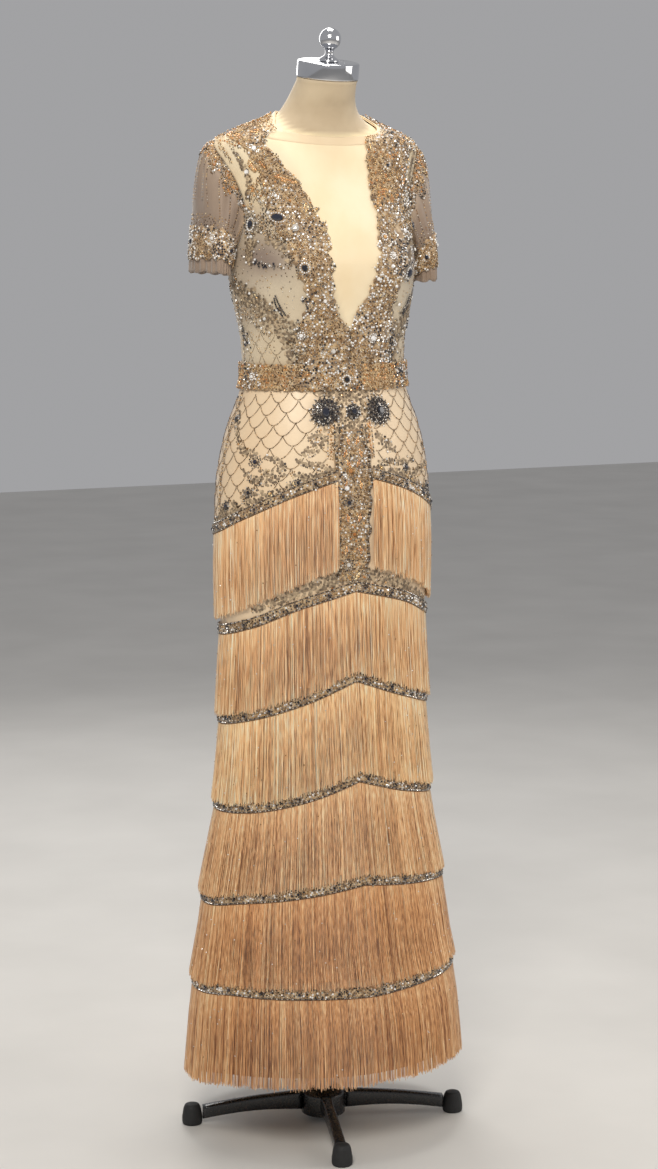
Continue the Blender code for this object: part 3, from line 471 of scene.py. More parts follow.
sleeve = {
    "centre": np.array([0.150, 0.032, 1.413]), "clear": 0.0009, "startLift": 0.0034,
    "hemX": 0.168, "hemY": 0.034, "hemHalfWidth": 0.0187, "hemHalfDepth": 0.062, "hemLeft": 1.288, "hemRight": 1.301,
    "hemRise": 0.002, "folds": 5, "foldDepth": 0.0022, "foldStart": 0.35,
    "capReach": 0.0212, "armReach": 0.006, "capDrop": 0.085, "hemFall": 0.075, "armFall": 0.008,
    "wall": 0.0007, "cuffTop": (0.60, 0.14), "cuffBottom": (0.86, 0.06),
}


def sleevePoint(angle, share, lift=0.0, side=1):
    # angle 0 is outside, 90 in front, 180 under the arm, 270 behind; share runs from the armhole to the hem
    angle, share, lift = np.broadcast_arrays(*(np.asarray(v, float) for v in (angle, share, lift)))
    theta = np.radians(angle)
    tip, arm = gown["shoulderTip"], gown["underarm"]
    height = arm + (tip - arm) * (1 + np.cos(theta)) / 2
    turn = 90 - gown["armholeInset"] * np.sin(theta)
    edge, normal = formPoint(turn, height), formNormal(turn, height)
    inwards = sleeve["centre"] - edge
    inwards = unit(inwards - normal * (inwards * normal).sum(-1, keepdims=True))
    start = edge + inwards * sleeve["clear"] + normal * sleeve["startLift"]
    outside = ((1 + np.cos(theta)) / 2)[..., None]
    leave = unit(np.concatenate([normal[..., :2], -sleeve["capDrop"] * outside], -1))
    fold = sleeve["foldDepth"] * np.cos(sleeve["folds"] * theta + sleeve["foldStart"])
    hem = np.stack([sleeve["hemX"] + (sleeve["hemHalfWidth"] + fold) * np.cos(theta),
                    sleeve["hemY"] - (sleeve["hemHalfDepth"] + fold) * np.sin(theta),
                    sleeve["hemLeft" if side > 0 else "hemRight"] + sleeve["hemRise"] * np.cos(theta)], -1)
    first = start + leave * (sleeve["armReach"] + sleeve["capReach"] * outside)
    second = hem + np.array([0, 0, 1.0]) * (sleeve["armFall"] + sleeve["hemFall"] * outside)
    t = share[..., None]
    rest = 1 - t
    point = start * rest ** 3 + first * (3 * rest * rest * t) + second * (3 * rest * t * t) + hem * t ** 3
    point = point + np.stack([np.cos(theta), -np.sin(theta), 0 * theta], -1) * lift[..., None]
    return point * np.array([side, 1, 1])


def cuffShare(angle, across):
    # across runs from the cuff's top to its bottom
    top, bottom = ([share + swing * np.cos(np.radians(angle)) for share, swing in (sleeve["cuffTop"],
                                                                                  sleeve["cuffBottom"])])
    return top + (bottom - top) * across


# dress form and stand

formLook = {
    "rows": 150, "sides": 100, "inset": 0.0014, "shoulderInset": 0.0046, "shoulderHeight": 1.481,
    "shoulderSpread": 0.016, "seamDepth": 0.0006, "seamWidth": 1.6, "neckBlur": 0.004,
    # the neckline's height by its distance behind the middle
    "neckline": [(-0.044, 1.4991), (-0.0385, 1.5021), (-0.024, 1.5106), (-0.0064, 1.5214), (0.018, 1.5343),
                 (0.044, 1.5393), (0.072, 1.5357)],
}


def makeForm(look):
    heights = np.linspace(formSections[0][0], formSections[-1][0], look["rows"])
    turns = np.linspace(-180, 180, look["sides"], endpoint=False)
    turn, height = np.meshgrid(turns, heights)
    shoulder = np.exp(-((height - look["shoulderHeight"]) / look["shoulderSpread"]) ** 4)
    inset = look["inset"] + (look["shoulderInset"] - look["inset"]) * shoulder
    inset = inset * (height < heights[-1] - 0.001)
    # shallow seams down the sides and centre back
    for seam in (-90, 90, 180):
        inset = inset + look["seamDepth"] * np.exp(-(wrapTurn(turn - seam) / look["seamWidth"]) ** 2)
    grid = formPoint(turn, height) - formNormal(turn, height) * inset[..., None]
    mesh = meshFrom("formTorso", grid, gridFaces(*grid.shape[:2], True))
    addPiece("formTorso", mesh, jersey, ["form_torso"])
    closeEnds(mesh, look["rows"], look["sides"])
    # the neck is bare above the net's edge, which dips at the front
    neckline = np.interp(grid[..., 1], *zip(*look["neckline"]))
    setAttribute(mesh, "bare", np.clip((grid[..., 2] - neckline) / look["neckBlur"] + 0.5, 0, 1))


def closeEnds(mesh, rows, sides):
    # flat ends on a closed grid
    shape = bmesh.new()
    shape.from_mesh(mesh)
    shape.verts.ensure_lookup_table()
    for ring, turnOver in ((range(sides), True), (range((rows - 1) * sides, rows * sides), False)):
        corners = [shape.verts[number] for number in ring]
        shape.faces.new(corners[::-1] if turnOver else corners)
    shape.to_mesh(mesh)
    shape.free()


def turnedMesh(name, profile, sides, place=(0, 0, 0), lean=0.0):
    # the profile of (radius, height) runs from the bottom to the top, and the first and last lie on the axis
    angles = np.linspace(0, 2 * math.pi, sides, endpoint=False)
    rings = np.array([[(r * math.cos(a), r * math.sin(a), z) for a in angles] for r, z in profile])
    turnX = np.array([[1, 0, 0], [0, math.cos(lean), -math.sin(lean)], [0, math.sin(lean), math.cos(lean)]])
    return meshFrom(name, rings @ turnX.T + np.array(place), gridFaces(len(profile), sides, True))


def rounded(points, radius, steps=4):
    # a profile with its corners rounded off
    result = [points[0]]
    for before, corner, after in zip(points, points[1:], points[2:]):
        before, corner, after = (np.array(p, float) for p in (before, corner, after))
        cut = min(radius, np.linalg.norm(before - corner) / 2.1, np.linalg.norm(after - corner) / 2.1)
        start = corner + unit(before - corner) * cut
        end = corner + unit(after - corner) * cut
        for step in range(steps + 1):
            t = step / steps
            result.append(tuple(start * (1 - t) ** 2 + corner * 2 * t * (1 - t) + end * t * t))
    return result + [points[-1]]


stand = {
    "capCentre": (0, -0.018, 1.597), "capRadius": 0.0455, "capHeight": 0.024, "capLean": math.radians(10),
    "ballRadius": 0.016, "finialHeight": 0.048, "poleRadius": 0.016, "poleBottom": 0.0523, "poleTop": 0.8297,
    "hubRadius": 0.034, "hubBottom": 0.010, "hubTop": 0.052, "legs": 4, "firstTurn": -17.0,
    "legWidth": 0.018, "footReach": 0.204, "footRadius": 0.0155, "footHeight": 0.033, "fit": 0.0003,
    "legTop": 0.046, "legTopFall": 0.018, "legTopArch": 0.003, "legUnder": 0.016, "legUnderFall": 0.008,
    "legUnderArch": 0.005, "legCorner": 0.42, "legWaist": 0.08, "legRows": 25, "legSides": 24,
    # radius and height above the cap
    "finialStem": [(0, 0), (0.0152, 0), (0.0146, 0.003), (0.0082, 0.0072), (0.0060, 0.0105), (0.0064, 0.0150),
                   (0.0080, 0.0185)],
}


def addTurned(name, node, profile, sides, finish, place=(0, 0, 0), lean=0.0):
    addPiece(name, turnedMesh(name, profile, sides, place, lean), finishes[finish], [node])


def makeStand(look):
    radius, half, lean = look["capRadius"], look["capHeight"] / 2, look["capLean"]
    cap = rounded([(0, -half), (radius, -half), (radius, half), (0, half)], 0.0028)
    addTurned("neckCap", "neck_cap", cap, 64, "chrome", look["capCentre"], lean)
    # the finial stands on the cap and leans with it
    up = np.array([0, -math.sin(lean), math.cos(lean)])
    base = np.array(look["capCentre"]) + up * (half + look["fit"])
    ballZ = look["finialHeight"] - look["ballRadius"]
    profile = rounded(look["finialStem"], 0.0015)
    for angle in np.linspace(math.radians(150), 0, 18):
        profile.append((look["ballRadius"] * math.sin(angle), ballZ + look["ballRadius"] * math.cos(angle)))
    addTurned("neckFinial", "neck_finial", profile, 40, "chrome", base, lean)
    low, high, radius = look["poleBottom"], look["poleTop"], look["poleRadius"]
    pole = rounded([(0, low), (radius, low), (radius, high), (0, high)], 0.001)
    addTurned("standPole", "stand_pole", pole, 48, "steelTube")
    radius, low, high = look["hubRadius"], look["hubBottom"], look["hubTop"]
    hub = rounded([(0, low), (radius, low), (radius, high - 0.010), (0.028, high - 0.003), (0.023, high), (0, high)],
                  0.0022)
    addTurned("standHub", "stand_hub", hub, 48, "blackEnamel")
    foot = rounded([(0, 0), (0.0143, 0), (look["footRadius"], 0.0035), (look["footRadius"], 0.012),
                    (0.0132, 0.026), (0.0105, look["footHeight"] - 0.0015), (0, look["footHeight"])], 0.002)
    for number in range(1, look["legs"] + 1):
        turn = math.radians(look["firstTurn"] + 360 / look["legs"] * (number - 1))
        makeLeg(f"standLeg{number}", f"stand_leg_{number}", turn, look)
        place = (look["footReach"] * math.sin(turn), -look["footReach"] * math.cos(turn), 0)
        addTurned(f"standFoot{number}", f"stand_foot_{number}", foot, 40, "blackRubber", place)


def makeLeg(name, node, turn, look):
    # a cast leg: a low arch, with a rounded section that narrows to the foot
    start, end = look["hubRadius"] + look["fit"], look["footReach"] - look["footRadius"] - look["fit"]
    share = np.linspace(0, 1, look["legRows"])[:, None]
    arch = np.sin(math.pi * share)
    top = look["legTop"] - look["legTopFall"] * share ** 0.8 + look["legTopArch"] * arch
    under = look["legUnder"] - look["legUnderFall"] * share + look["legUnderArch"] * arch
    angle = np.linspace(0, 2 * math.pi, look["legSides"], endpoint=False)[None, :]
    # a soft-cornered rectangle: width across, from under to top
    across = np.sign(np.cos(angle)) * np.abs(np.cos(angle)) ** look["legCorner"] * look["legWidth"] / 2
    upward = np.sign(np.sin(angle)) * np.abs(np.sin(angle)) ** look["legCorner"]
    reach = start + (end - start) * share + 0 * angle
    across = across * (1 - look["legWaist"] * arch) + 0 * reach
    z = (top + under) / 2 + (top - under) / 2 * upward
    out = np.array([math.sin(turn), -math.cos(turn)])
    aside = np.array([math.cos(turn), math.sin(turn)])
    grid = np.stack([reach * out[0] + across * aside[0], reach * out[1] + across * aside[1], z], -1)
    mesh = meshFrom(name, grid, gridFaces(look["legRows"], look["legSides"], True))
    addPiece(name, mesh, finishes["blackEnamel"], [node])
    closeEnds(mesh, look["legRows"], look["legSides"])


makeForm(formLook)
makeStand(stand)
print("dress form and stand made")


# bodice


def threePanels(name):
    # a front and two backs: the piece, its node, and the turns it runs between
    return [(f"{name}Front", f"{name}_front", -90, 90), (f"{name}BackLeft", f"{name}_back_left", 90, 180),
            (f"{name}BackRight", f"{name}_back_right", -180, -90)]


def panelTurns(look, first, last):
    return np.linspace(first + look["trim"], last - look["trim"], round((last - first) / look["columnStep"]) + 1)


bodiceLook = {
    "columnStep": 2.5, "trim": 0.12, "wall": 0.0010, "panels": threePanels("bodice"),
    # the net's mauve tint, with painted shade added under the bust and at the sides
    "bustShare": 0.47, "bustShareSpread": 0.075, "bustTurn": 54, "bustTurnSpread": 20, "bustPaintedShade": 0.58,
    "sideTurn": 52, "sidePaintedShade": 0.22, "netShade": 0.42, "upperFrom": 0.60, "upperFade": 0.75,
}

# turn of the bare vee's edge at shares of the bodice's height
veeEdge = curveThrough([0.0, 0.19, 0.28, 0.34, 0.41, 0.50, 0.60, 0.70, 0.85, 1.0],
                       [-6.0, 0.0, 6.0, 10.0, 14.0, 17.0, 22.0, 28.0, 30.0, 34.0])


def bodiceShares():
    # rows close together where the armhole turns
    low, arm, tip, high = gown["waistSeam"] + 0.0002, gown["underarm"], gown["shoulderTip"], gown["neckSide"]
    swing = arm + (tip - arm) * (1 - np.cos(np.linspace(0, math.pi, 30))) / 2
    heights = np.concatenate([np.linspace(low, arm, 26)[:-1], swing, np.linspace(tip, high, 11)[1:]])
    return (heights - gown["waistSeam"]) / (gown["neckSide"] - gown["waistSeam"])


def makeBodice(look):
    for name, node, first, last in look["panels"]:
        turn, share = np.meshgrid(panelTurns(look, first, last), bodiceShares())
        grid = bodicePoint(turn, share)
        piece = addSheet(name, grid, bodiceNet, look["wall"], replaces=[node])
        outside = np.abs(turn) - veeEdge(share)
        # painted shade: the net's mauve tint is darkened under the bust and towards the sides
        atBust = np.exp(-((share - look["bustShare"]) / look["bustShareSpread"]) ** 2
                        - ((np.abs(turn) - look["bustTurn"]) / look["bustTurnSpread"]) ** 2)
        atSides = np.clip((np.abs(turn) - look["sideTurn"]) / 20, 0, 1) * np.clip((share - 0.14) / 0.1, 0, 1)
        upper = 1 - look["upperFade"] * np.clip((share - look["upperFrom"]) / 0.12, 0, 1)
        shade = np.clip(look["netShade"] + look["bustPaintedShade"] * atBust + look["sidePaintedShade"] * atSides, 0, 1) * upper
        setAttribute(piece.data, "veilAndShade", shade * np.clip(outside / 7, 0, 1) * np.clip((1.02 - share) / 0.05, 0, 1))


makeBodice(bodiceLook)
print("bodice made")


# sleeves

sleeveLook = {"sides": 120, "rows": 40, "creases": 11, "creaseDepth": 0.0011, "frillDepth": 0.0016,
              "scallops": 9, "scallopDepth": 0.0035, "fineCreases": 17, "creaseEnd": 0.62, "frillWaves": 23,
              "frillFrom": 0.82}


def sleeveLift(angle, share, look):
    # soft creases that grow towards the hem, and the frill below the cuff
    theta = np.radians(angle)
    crease = np.cos(look["creases"] * theta + 1.3) + 0.6 * np.cos(look["fineCreases"] * theta)
    grown = look["creaseDepth"] * crease * np.sin(math.pi * np.clip(share / look["creaseEnd"], 0, 1)) ** 0.8
    atFrill = np.clip((share - look["frillFrom"]) / 0.1, 0, 1)
    frill = look["frillDepth"] * np.cos(look["frillWaves"] * theta + 0.5) * atFrill
    return grown + frill


def makeSleeves(look):
    angles = np.linspace(0, 360, look["sides"], endpoint=False)
    angle, share = np.meshgrid(angles, np.linspace(0, 1, look["rows"]))
    scallop = np.abs(np.cos(np.radians(look["scallops"] * angle) / 2))
    for name, node, side in (("sleeveLeft", "sleeve_left", 1), ("sleeveRight", "sleeve_right", -1)):
        grid = sleevePoint(angle, share, sleeveLift(angle, share, look), side)
        grid[..., 2] += look["scallopDepth"] * (1 - scallop) * np.clip((share - 0.85) / 0.15, 0, 1)
        grid = forSide(grid, side)
        piece = addSheet(name, grid, sleeveNet, sleeve["wall"], closed=True, replaces=[node])
        setAttribute(piece.data, "veilAndShade", np.clip(share / 0.3, 0, 1) * 0.9)


makeSleeves(sleeveLook)
print("sleeves made")


# skirt and its fringe

skirtLook = {"hipFrom": 0.930, "hipRows": 30, "lowRows": 18, "columnStep": 2.5, "trim": 0.12, "wall": 0.0012,
             "panels": threePanels("skirt")}

# for each tier the heights of its roots and tips at these turns, the same to the left and to the right
tierTurns = [0, 30, 60, 90, 135, 180]
tiers = [
    {"roots": (1.010, 0.983, 0.951, 0.925, 0.908, 0.903), "tips": (0.876, 0.850, 0.818, 0.797, 0.785, 0.782)},
    {"roots": (0.837, 0.815, 0.787, 0.772, 0.764, 0.762), "tips": (0.715, 0.684, 0.662, 0.649, 0.642, 0.640)},
    {"roots": (0.703, 0.672, 0.650, 0.637, 0.630, 0.628), "tips": (0.567, 0.540, 0.524, 0.517, 0.513, 0.511)},
    {"roots": (0.554, 0.528, 0.512, 0.505, 0.501, 0.499), "tips": (0.415, 0.401, 0.390, 0.376, 0.372, 0.370)},
    {"roots": (0.402, 0.389, 0.378, 0.364, 0.360, 0.358), "tips": (0.254, 0.256, 0.254, 0.243, 0.240, 0.239)},
    {"roots": (0.240, 0.243, 0.242, 0.231, 0.228, 0.227), "tips": (0.118, 0.118, 0.113, 0.099, 0.096, 0.094)},
]
tierTilt = 0.004
frontGap = 9.7

fringeLook = {
    "strands": 2500, "rings": 4, "radius": 0.00064, "clump": 1.1, "sway": 0.0016, "ragged": 0.0035,
    "rootLift": 0.0012, "tipLift": 0.0058, "depth": 0.0032, "flare": 0.7, "rise": 0.006, "tipRise": 0.006,
    "pull": 0.30, "pullPower": 1.6, "wave": 0.0011, "tipWave": 0.0015, "bow": 0.0012, "taper": 0.25,
    "colours": [
        [(0.0, 160, 108, 64), (0.35, 234, 182, 130), (0.7, 255, 218, 168), (1.0, 255, 248, 222)],
        [(0.0, 156, 104, 62), (0.35, 232, 180, 128), (0.7, 253, 216, 164), (1.0, 255, 246, 216)],
        [(0.0, 162, 112, 66), (0.35, 240, 190, 136), (0.7, 255, 222, 170), (1.0, 255, 248, 220)],
        [(0.0, 148, 98, 58), (0.35, 222, 170, 120), (0.7, 246, 204, 152), (1.0, 255, 238, 200)],
        [(0.0, 134, 84, 46), (0.35, 208, 150, 98), (0.7, 236, 184, 130), (1.0, 255, 226, 178)],
        [(0.0, 130, 80, 44), (0.35, 204, 146, 94), (0.7, 232, 180, 126), (1.0, 254, 222, 174)],
    ],
    "sockets": {"Metallic": 0.08, "Sheen Weight": 0.35},
}


def tierSpan(number):
    # the first tier is open at centre front, under the panel
    return (frontGap, 360 - frontGap) if number == 1 else (0, 360)


def fringeLift(fall, look):
    # how far the strands stand off the skirt, from root to tip
    return look["rootLift"] + (look["tipLift"] - look["rootLift"]) * fall ** look["flare"]


def tierHeight(heights, turn):
    turn = wrapTurn(turn)
    return curveThrough(tierTurns, heights)(np.abs(turn)) + tierTilt * np.sin(np.radians(turn))


def makeSkirt(look):
    for name, node, first, last in look["panels"]:
        heights = np.concatenate([np.linspace(gown["skirtEnd"], look["hipFrom"], look["lowRows"])[:-1],
                                  np.linspace(look["hipFrom"], gown["waistSeam"] - 0.0002, look["hipRows"])])
        turn, height = np.meshgrid(panelTurns(look, first, last), heights)
        grid = skirtPoint(turn, height)
        piece = addSheet(name, grid, finishes["satinLining"], look["wall"], replaces=[node])


def makeFringe(look):
    for number, tier in enumerate(tiers, start=1):
        material = fringeMaterial(number, {"colours": look["colours"][number - 1], "sockets": look["sockets"]})
        first, last = tierSpan(number)
        strandMesh(number, tier, first, last, material, look)
        backingSheet(number, tier, first, last, material, look)


def strandMesh(number, tier, first, last, material, look):
    local = np.random.default_rng(100 + number)
    count = round(look["strands"] * (last - first) / 360)
    turn = first + (np.arange(count) + local.uniform(0, 1, count)) / count * (last - first)
    layer = local.uniform(0, 1, count) ** 0.8
    clump = np.floor(turn / look["clump"] + 0.3 * ripple(turn, number, (7, 13, 29)))
    clumpTurn = (clump + 0.5) * look["clump"]
    clumpTone = local.uniform(0, 1, int(clump.max() - clump.min()) + 1)[(clump - clump.min()).astype(int)] ** 1.4
    fall = np.linspace(0, 1, look["rings"])
    root = tierHeight(tier["roots"], turn) + look["rise"] * 0.4
    tip = tierHeight(tier["tips"], turn) + local.normal(0, look["ragged"], count) * 0.6
    tip = tip + look["tipWave"] * ripple(turn, 40 + number, (11, 23, 37, 61))
    tip = tip + (look["tipRise"] if number < len(tiers) else 0)
    height = root[:, None] + (tip - root)[:, None] * fall
    pull = look["pull"] * fall ** look["pullPower"]
    drift = (local.normal(0, 1, count) * 0.5)[:, None] * fall ** 2 * look["sway"]
    wave = look["wave"] * ripple(turn, 70 + number, (9, 17, 31, 53))[:, None] * np.sin(fall * 2.6)
    radius = np.linalg.norm(skirtPoint(turn, tip)[:, :2], axis=-1)
    aside = np.degrees((drift + wave) / radius[:, None])
    strandTurn = turn[:, None] + (clumpTurn - turn)[:, None] * pull + aside
    lift = fringeLift(fall, look)
    lift = lift + look["depth"] * layer[:, None] * (0.45 + 0.55 * fall)
    lift = lift + look["bow"] * ripple(turn, 90 + number, (5, 9, 15))[:, None] * fall
    centre = skirtPoint(strandTurn, height, lift)
    around = skirtPoint(strandTurn + 0.5, height, lift) - skirtPoint(strandTurn - 0.5, height, lift)
    tangent = unit(around)
    outward = np.stack([tangent[..., 1], -tangent[..., 0], 0 * tangent[..., 0]], -1)
    thickness = look["radius"] * (1 - look["taper"] * fall) * local.uniform(0.8, 1.2, count)[:, None]
    corners = []
    for spoke in range(3):
        angle = 2 * math.pi * spoke / 3 + math.pi / 2
        corners.append(centre + (tangent * math.cos(angle) + outward * math.sin(angle)) * thickness[..., None])
    points = np.stack(corners, 2)  # strand, ring, spoke
    rings = look["rings"]
    base = (np.arange(count) * rings * 3)[:, None, None]
    ring = (np.arange(rings - 1) * 3)[None, :, None]
    spoke = np.arange(3)[None, None, :]
    after = (spoke + 1) % 3
    faces = np.stack([base + ring + spoke, base + ring + after, base + ring + 3 + after, base + ring + 3 + spoke],
                     -1)[..., ::-1].reshape(-1, 4)
    mesh = meshFrom(f"fringeTier{number}", points, faces)
    tone = 0.04 + 0.66 * local.uniform(0, 1, count) + 0.22 * clumpTone
    # painted glints: about six strands in a hundred are painted much brighter
    tone = tone + 0.35 * (local.uniform(0, 1, count) > 0.94)
    # painted highlights: each strand is painted brighter just below its root and near its tip
    ends = 0.16 * np.exp(-(fall / 0.10) ** 2) + 0.14 * np.clip((fall - 0.8) / 0.2, 0, 1)
    # painted shade: the strands nearest the skirt are painted darker
    tone = np.clip(tone[:, None] * (0.60 + 0.40 * layer[:, None]) + ends, 0, 1)
    setAttribute(mesh, "tone", np.repeat(tone[..., None], 3, axis=2))
    addPiece(f"fringeTier{number}", mesh, material, [f"fringe_{number}"])


def backingSheet(number, tier, first, last, material, look):
    # the tape and the innermost strands, as one striped sheet that ends above the tips, kept dark as painted shade
    # deep in the fringe
    closed = number > 1
    columns = 480
    turns = np.linspace(first, last, columns, endpoint=not closed)
    fall = np.linspace(-0.04, 0.88, 8)
    turn = np.broadcast_to(turns, (len(fall), columns))
    root, tip = tierHeight(tier["roots"], turn), tierHeight(tier["tips"], turn)
    height = root + (tip - root) * fall[:, None]
    grown = np.clip(fall, 0, 1)[:, None]
    groove = 0.0005 * ripple(turn, 20 + number, (60, 97, 133, 171))
    lift = fringeLift(grown, look) + groove
    grid = skirtPoint(turn, height, lift)[::-1]
    piece = addSheet(f"fringeTape{number}", grid, material, closed=closed)
    tone = 0.16 + 0.16 * ripple(turn, 30 + number, (83, 119, 160, 176))
    setAttribute(piece.data, "tone", np.clip(tone, 0, 0.45)[::-1])


makeSkirt(skirtLook)
makeFringe(fringeLook)
print("skirt and fringe made")


# the beaded cloth of the bands, belt and cuffs

bandLook = {"low": 0.0036, "height": 0.0155, "lift": 0.0030, "wall": 0.0012, "columns": 240, "rows": 5,
            "scallop": 0.0012, "scallops": 36, "swell": 0.0008}


def makeBands(look):
    for number, tier in enumerate(tiers, start=1):
        closed = number > 1
        first, last = tierSpan(number)
        turns = np.linspace(first, last, look["columns"], endpoint=not closed)
        turn, up = np.meshgrid(turns, look["low"] + look["height"] * np.linspace(0, 1, look["rows"]))
        across = (up - look["low"]) / look["height"]
        scallop = look["scallop"] * np.sin(np.radians(turn * look["scallops"])) * np.sin(across * math.pi / 2)
        swell = look["swell"] * np.sin(across * math.pi)
        grid = skirtPoint(turn, tierHeight(tier["roots"], turn) + up + scallop, look["lift"] + swell)
        piece = addSheet(f"trimBand{number}", grid, finishes["beadedTulle"], look["wall"], closed,
                         [f"trim_band_{number}"])


beltLook = {"low": 1.135, "high": 1.172, "lift": 0.0046, "wall": 0.0020, "columns": 240, "rows": 9,
            "edge": 0.0010, "edgeWaves": 40, "swell": 0.0006}


def makeBelt(look):
    turn, height = np.meshgrid(np.linspace(-179.8, 179.8, look["columns"]),
                               np.linspace(look["low"], look["high"], look["rows"]))
    edge = look["edge"] * np.sin(np.radians(turn * look["edgeWaves"])) * np.sign(height - gown["waistSeam"])
    across = (height - look["low"]) / (look["high"] - look["low"])
    lift = look["lift"] + look["swell"] * np.sin(math.pi * across)
    grid = skirtPoint(turn, height + edge * np.abs(2 * across - 1) ** 3, lift)
    piece = addSheet("waistBelt", grid, finishes["beadedTulle"], look["wall"], replaces=["belt"])


cuffLook = {"lift": 0.0030, "wall": 0.0016, "columns": 144, "rows": 9, "ragged": 0.05, "raggedWaves": 14,
            "swell": 0.0006}


def makeCuffs(look):
    angles = np.linspace(0, 360, look["columns"], endpoint=False)
    angle, across = np.meshgrid(angles, np.linspace(0, 1, look["rows"]))
    ragged = look["ragged"] * np.sin(np.radians(angle * look["raggedWaves"])) * np.abs(2 * across - 1) ** 3
    for name, node, side in (("cuffLeft", "cuff_left", 1), ("cuffRight", "cuff_right", -1)):
        lift = look["lift"] + look["swell"] * np.sin(math.pi * across)
        grid = sleevePoint(angle, cuffShare(angle, across + ragged), lift, side)
        grid = forSide(grid, side)
        piece = addSheet(name, grid, finishes["beadedTulle"], look["wall"], True, [node])


makeBands(bandLook)
makeBelt(beltLook)
makeCuffs(cuffLook)
print("bands, belt and cuffs made")


# beadwork


def turnedBead(sides, profile):
    # a small solid turned about its own axis, as (radius, height) from the cloth up; radius 0 is on the axis
    points, rings, faces = [], [], []
    for radius, height in profile:
        count = sides if radius else 1
        rings.append(range(len(points), len(points) + count))
        points += [(radius * math.cos(2 * math.pi * k / sides), radius * math.sin(2 * math.pi * k / sides), height)
                   for k in range(count)]
    for low, high in zip(rings, rings[1:]):
        for k in range(sides):
            a, b = low[k % len(low)], low[(k + 1) % len(low)]
            c, d = high[k % len(high)], high[(k + 1) % len(high)]
            if len(low) > 1:
                faces.append((a, b, d))
            if len(high) > 1:
                faces.append((a, d, c))
    return np.array(points, float), np.array(faces)


seedShape = turnedBead(5, [(0, -0.35), (1.0, 0.3), (0, 1.0)])
cutShape = turnedBead(6, [(1.0, 0.05), (0.6, 0.74), (0, 0.78)])
stoneShape = turnedBead(12, [(0.92, -0.1), (1.0, 0.25), (0.66, 0.62), (0, 0.64)])
petalShape = turnedBead(8, [(1.0, -0.1), (0.6, 0.32), (0, 0.42)])
# a low pad of satin stitches, sewn under the beads of a spray
stitchCorners = [(math.cos(turn), math.sin(turn), 0.0) for turn in np.linspace(0, 2 * math.pi, 7)[:-1]]
stitchShape = (np.array(stitchCorners + [(0.0, 0.0, 0.14)]), np.array([(k, (k + 1) % 6, 6) for k in range(6)]))

# each kind of bead: its shape, its finish, and whether its faces are shaded smooth
beadKinds = {
    "gold": (seedShape, "goldSeed", True), "bronze": (seedShape, "bronzeSeed", True),
    "silver": (seedShape, "silverSeed", True), "crystal": (cutShape, "crystal", False),
    "grey": (cutShape, "greyGlass", False), "jet": (cutShape, "darkStone", False),
    "stone": (stoneShape, "darkStone", False), "topaz": (cutShape, "amberStone", False),
    "petal": (petalShape, "goldSeed", True), "amberPetal": (petalShape, "amberStone", True),
    "stitch": (stitchShape, "stitching", True),
}


cutKinds = ("crystal", "topaz", "jet", "grey")


def beadSizes(kinds, size, cut=1.4):
    # cut beads are larger than seeds
    return np.array([size * (cut if kind in cutKinds else 1.0) for kind in kinds])


def smoothPath(points, steps=14):
    # a smooth path through a few places
    points = np.asarray(points, float)
    padded = np.vstack([2 * points[0] - points[1], points, 2 * points[-1] - points[-2]])
    t = np.linspace(0, 1, steps, endpoint=False)[:, None]
    runs = [0.5 * (2 * b + (c - a) * t + (2 * a - 5 * b + 4 * c - d) * t ** 2 + (3 * b - a - 3 * c + d) * t ** 3)
            for a, b, c, d in zip(padded, padded[1:], padded[2:], padded[3:])]
    return np.vstack(runs + [points[-1:]])


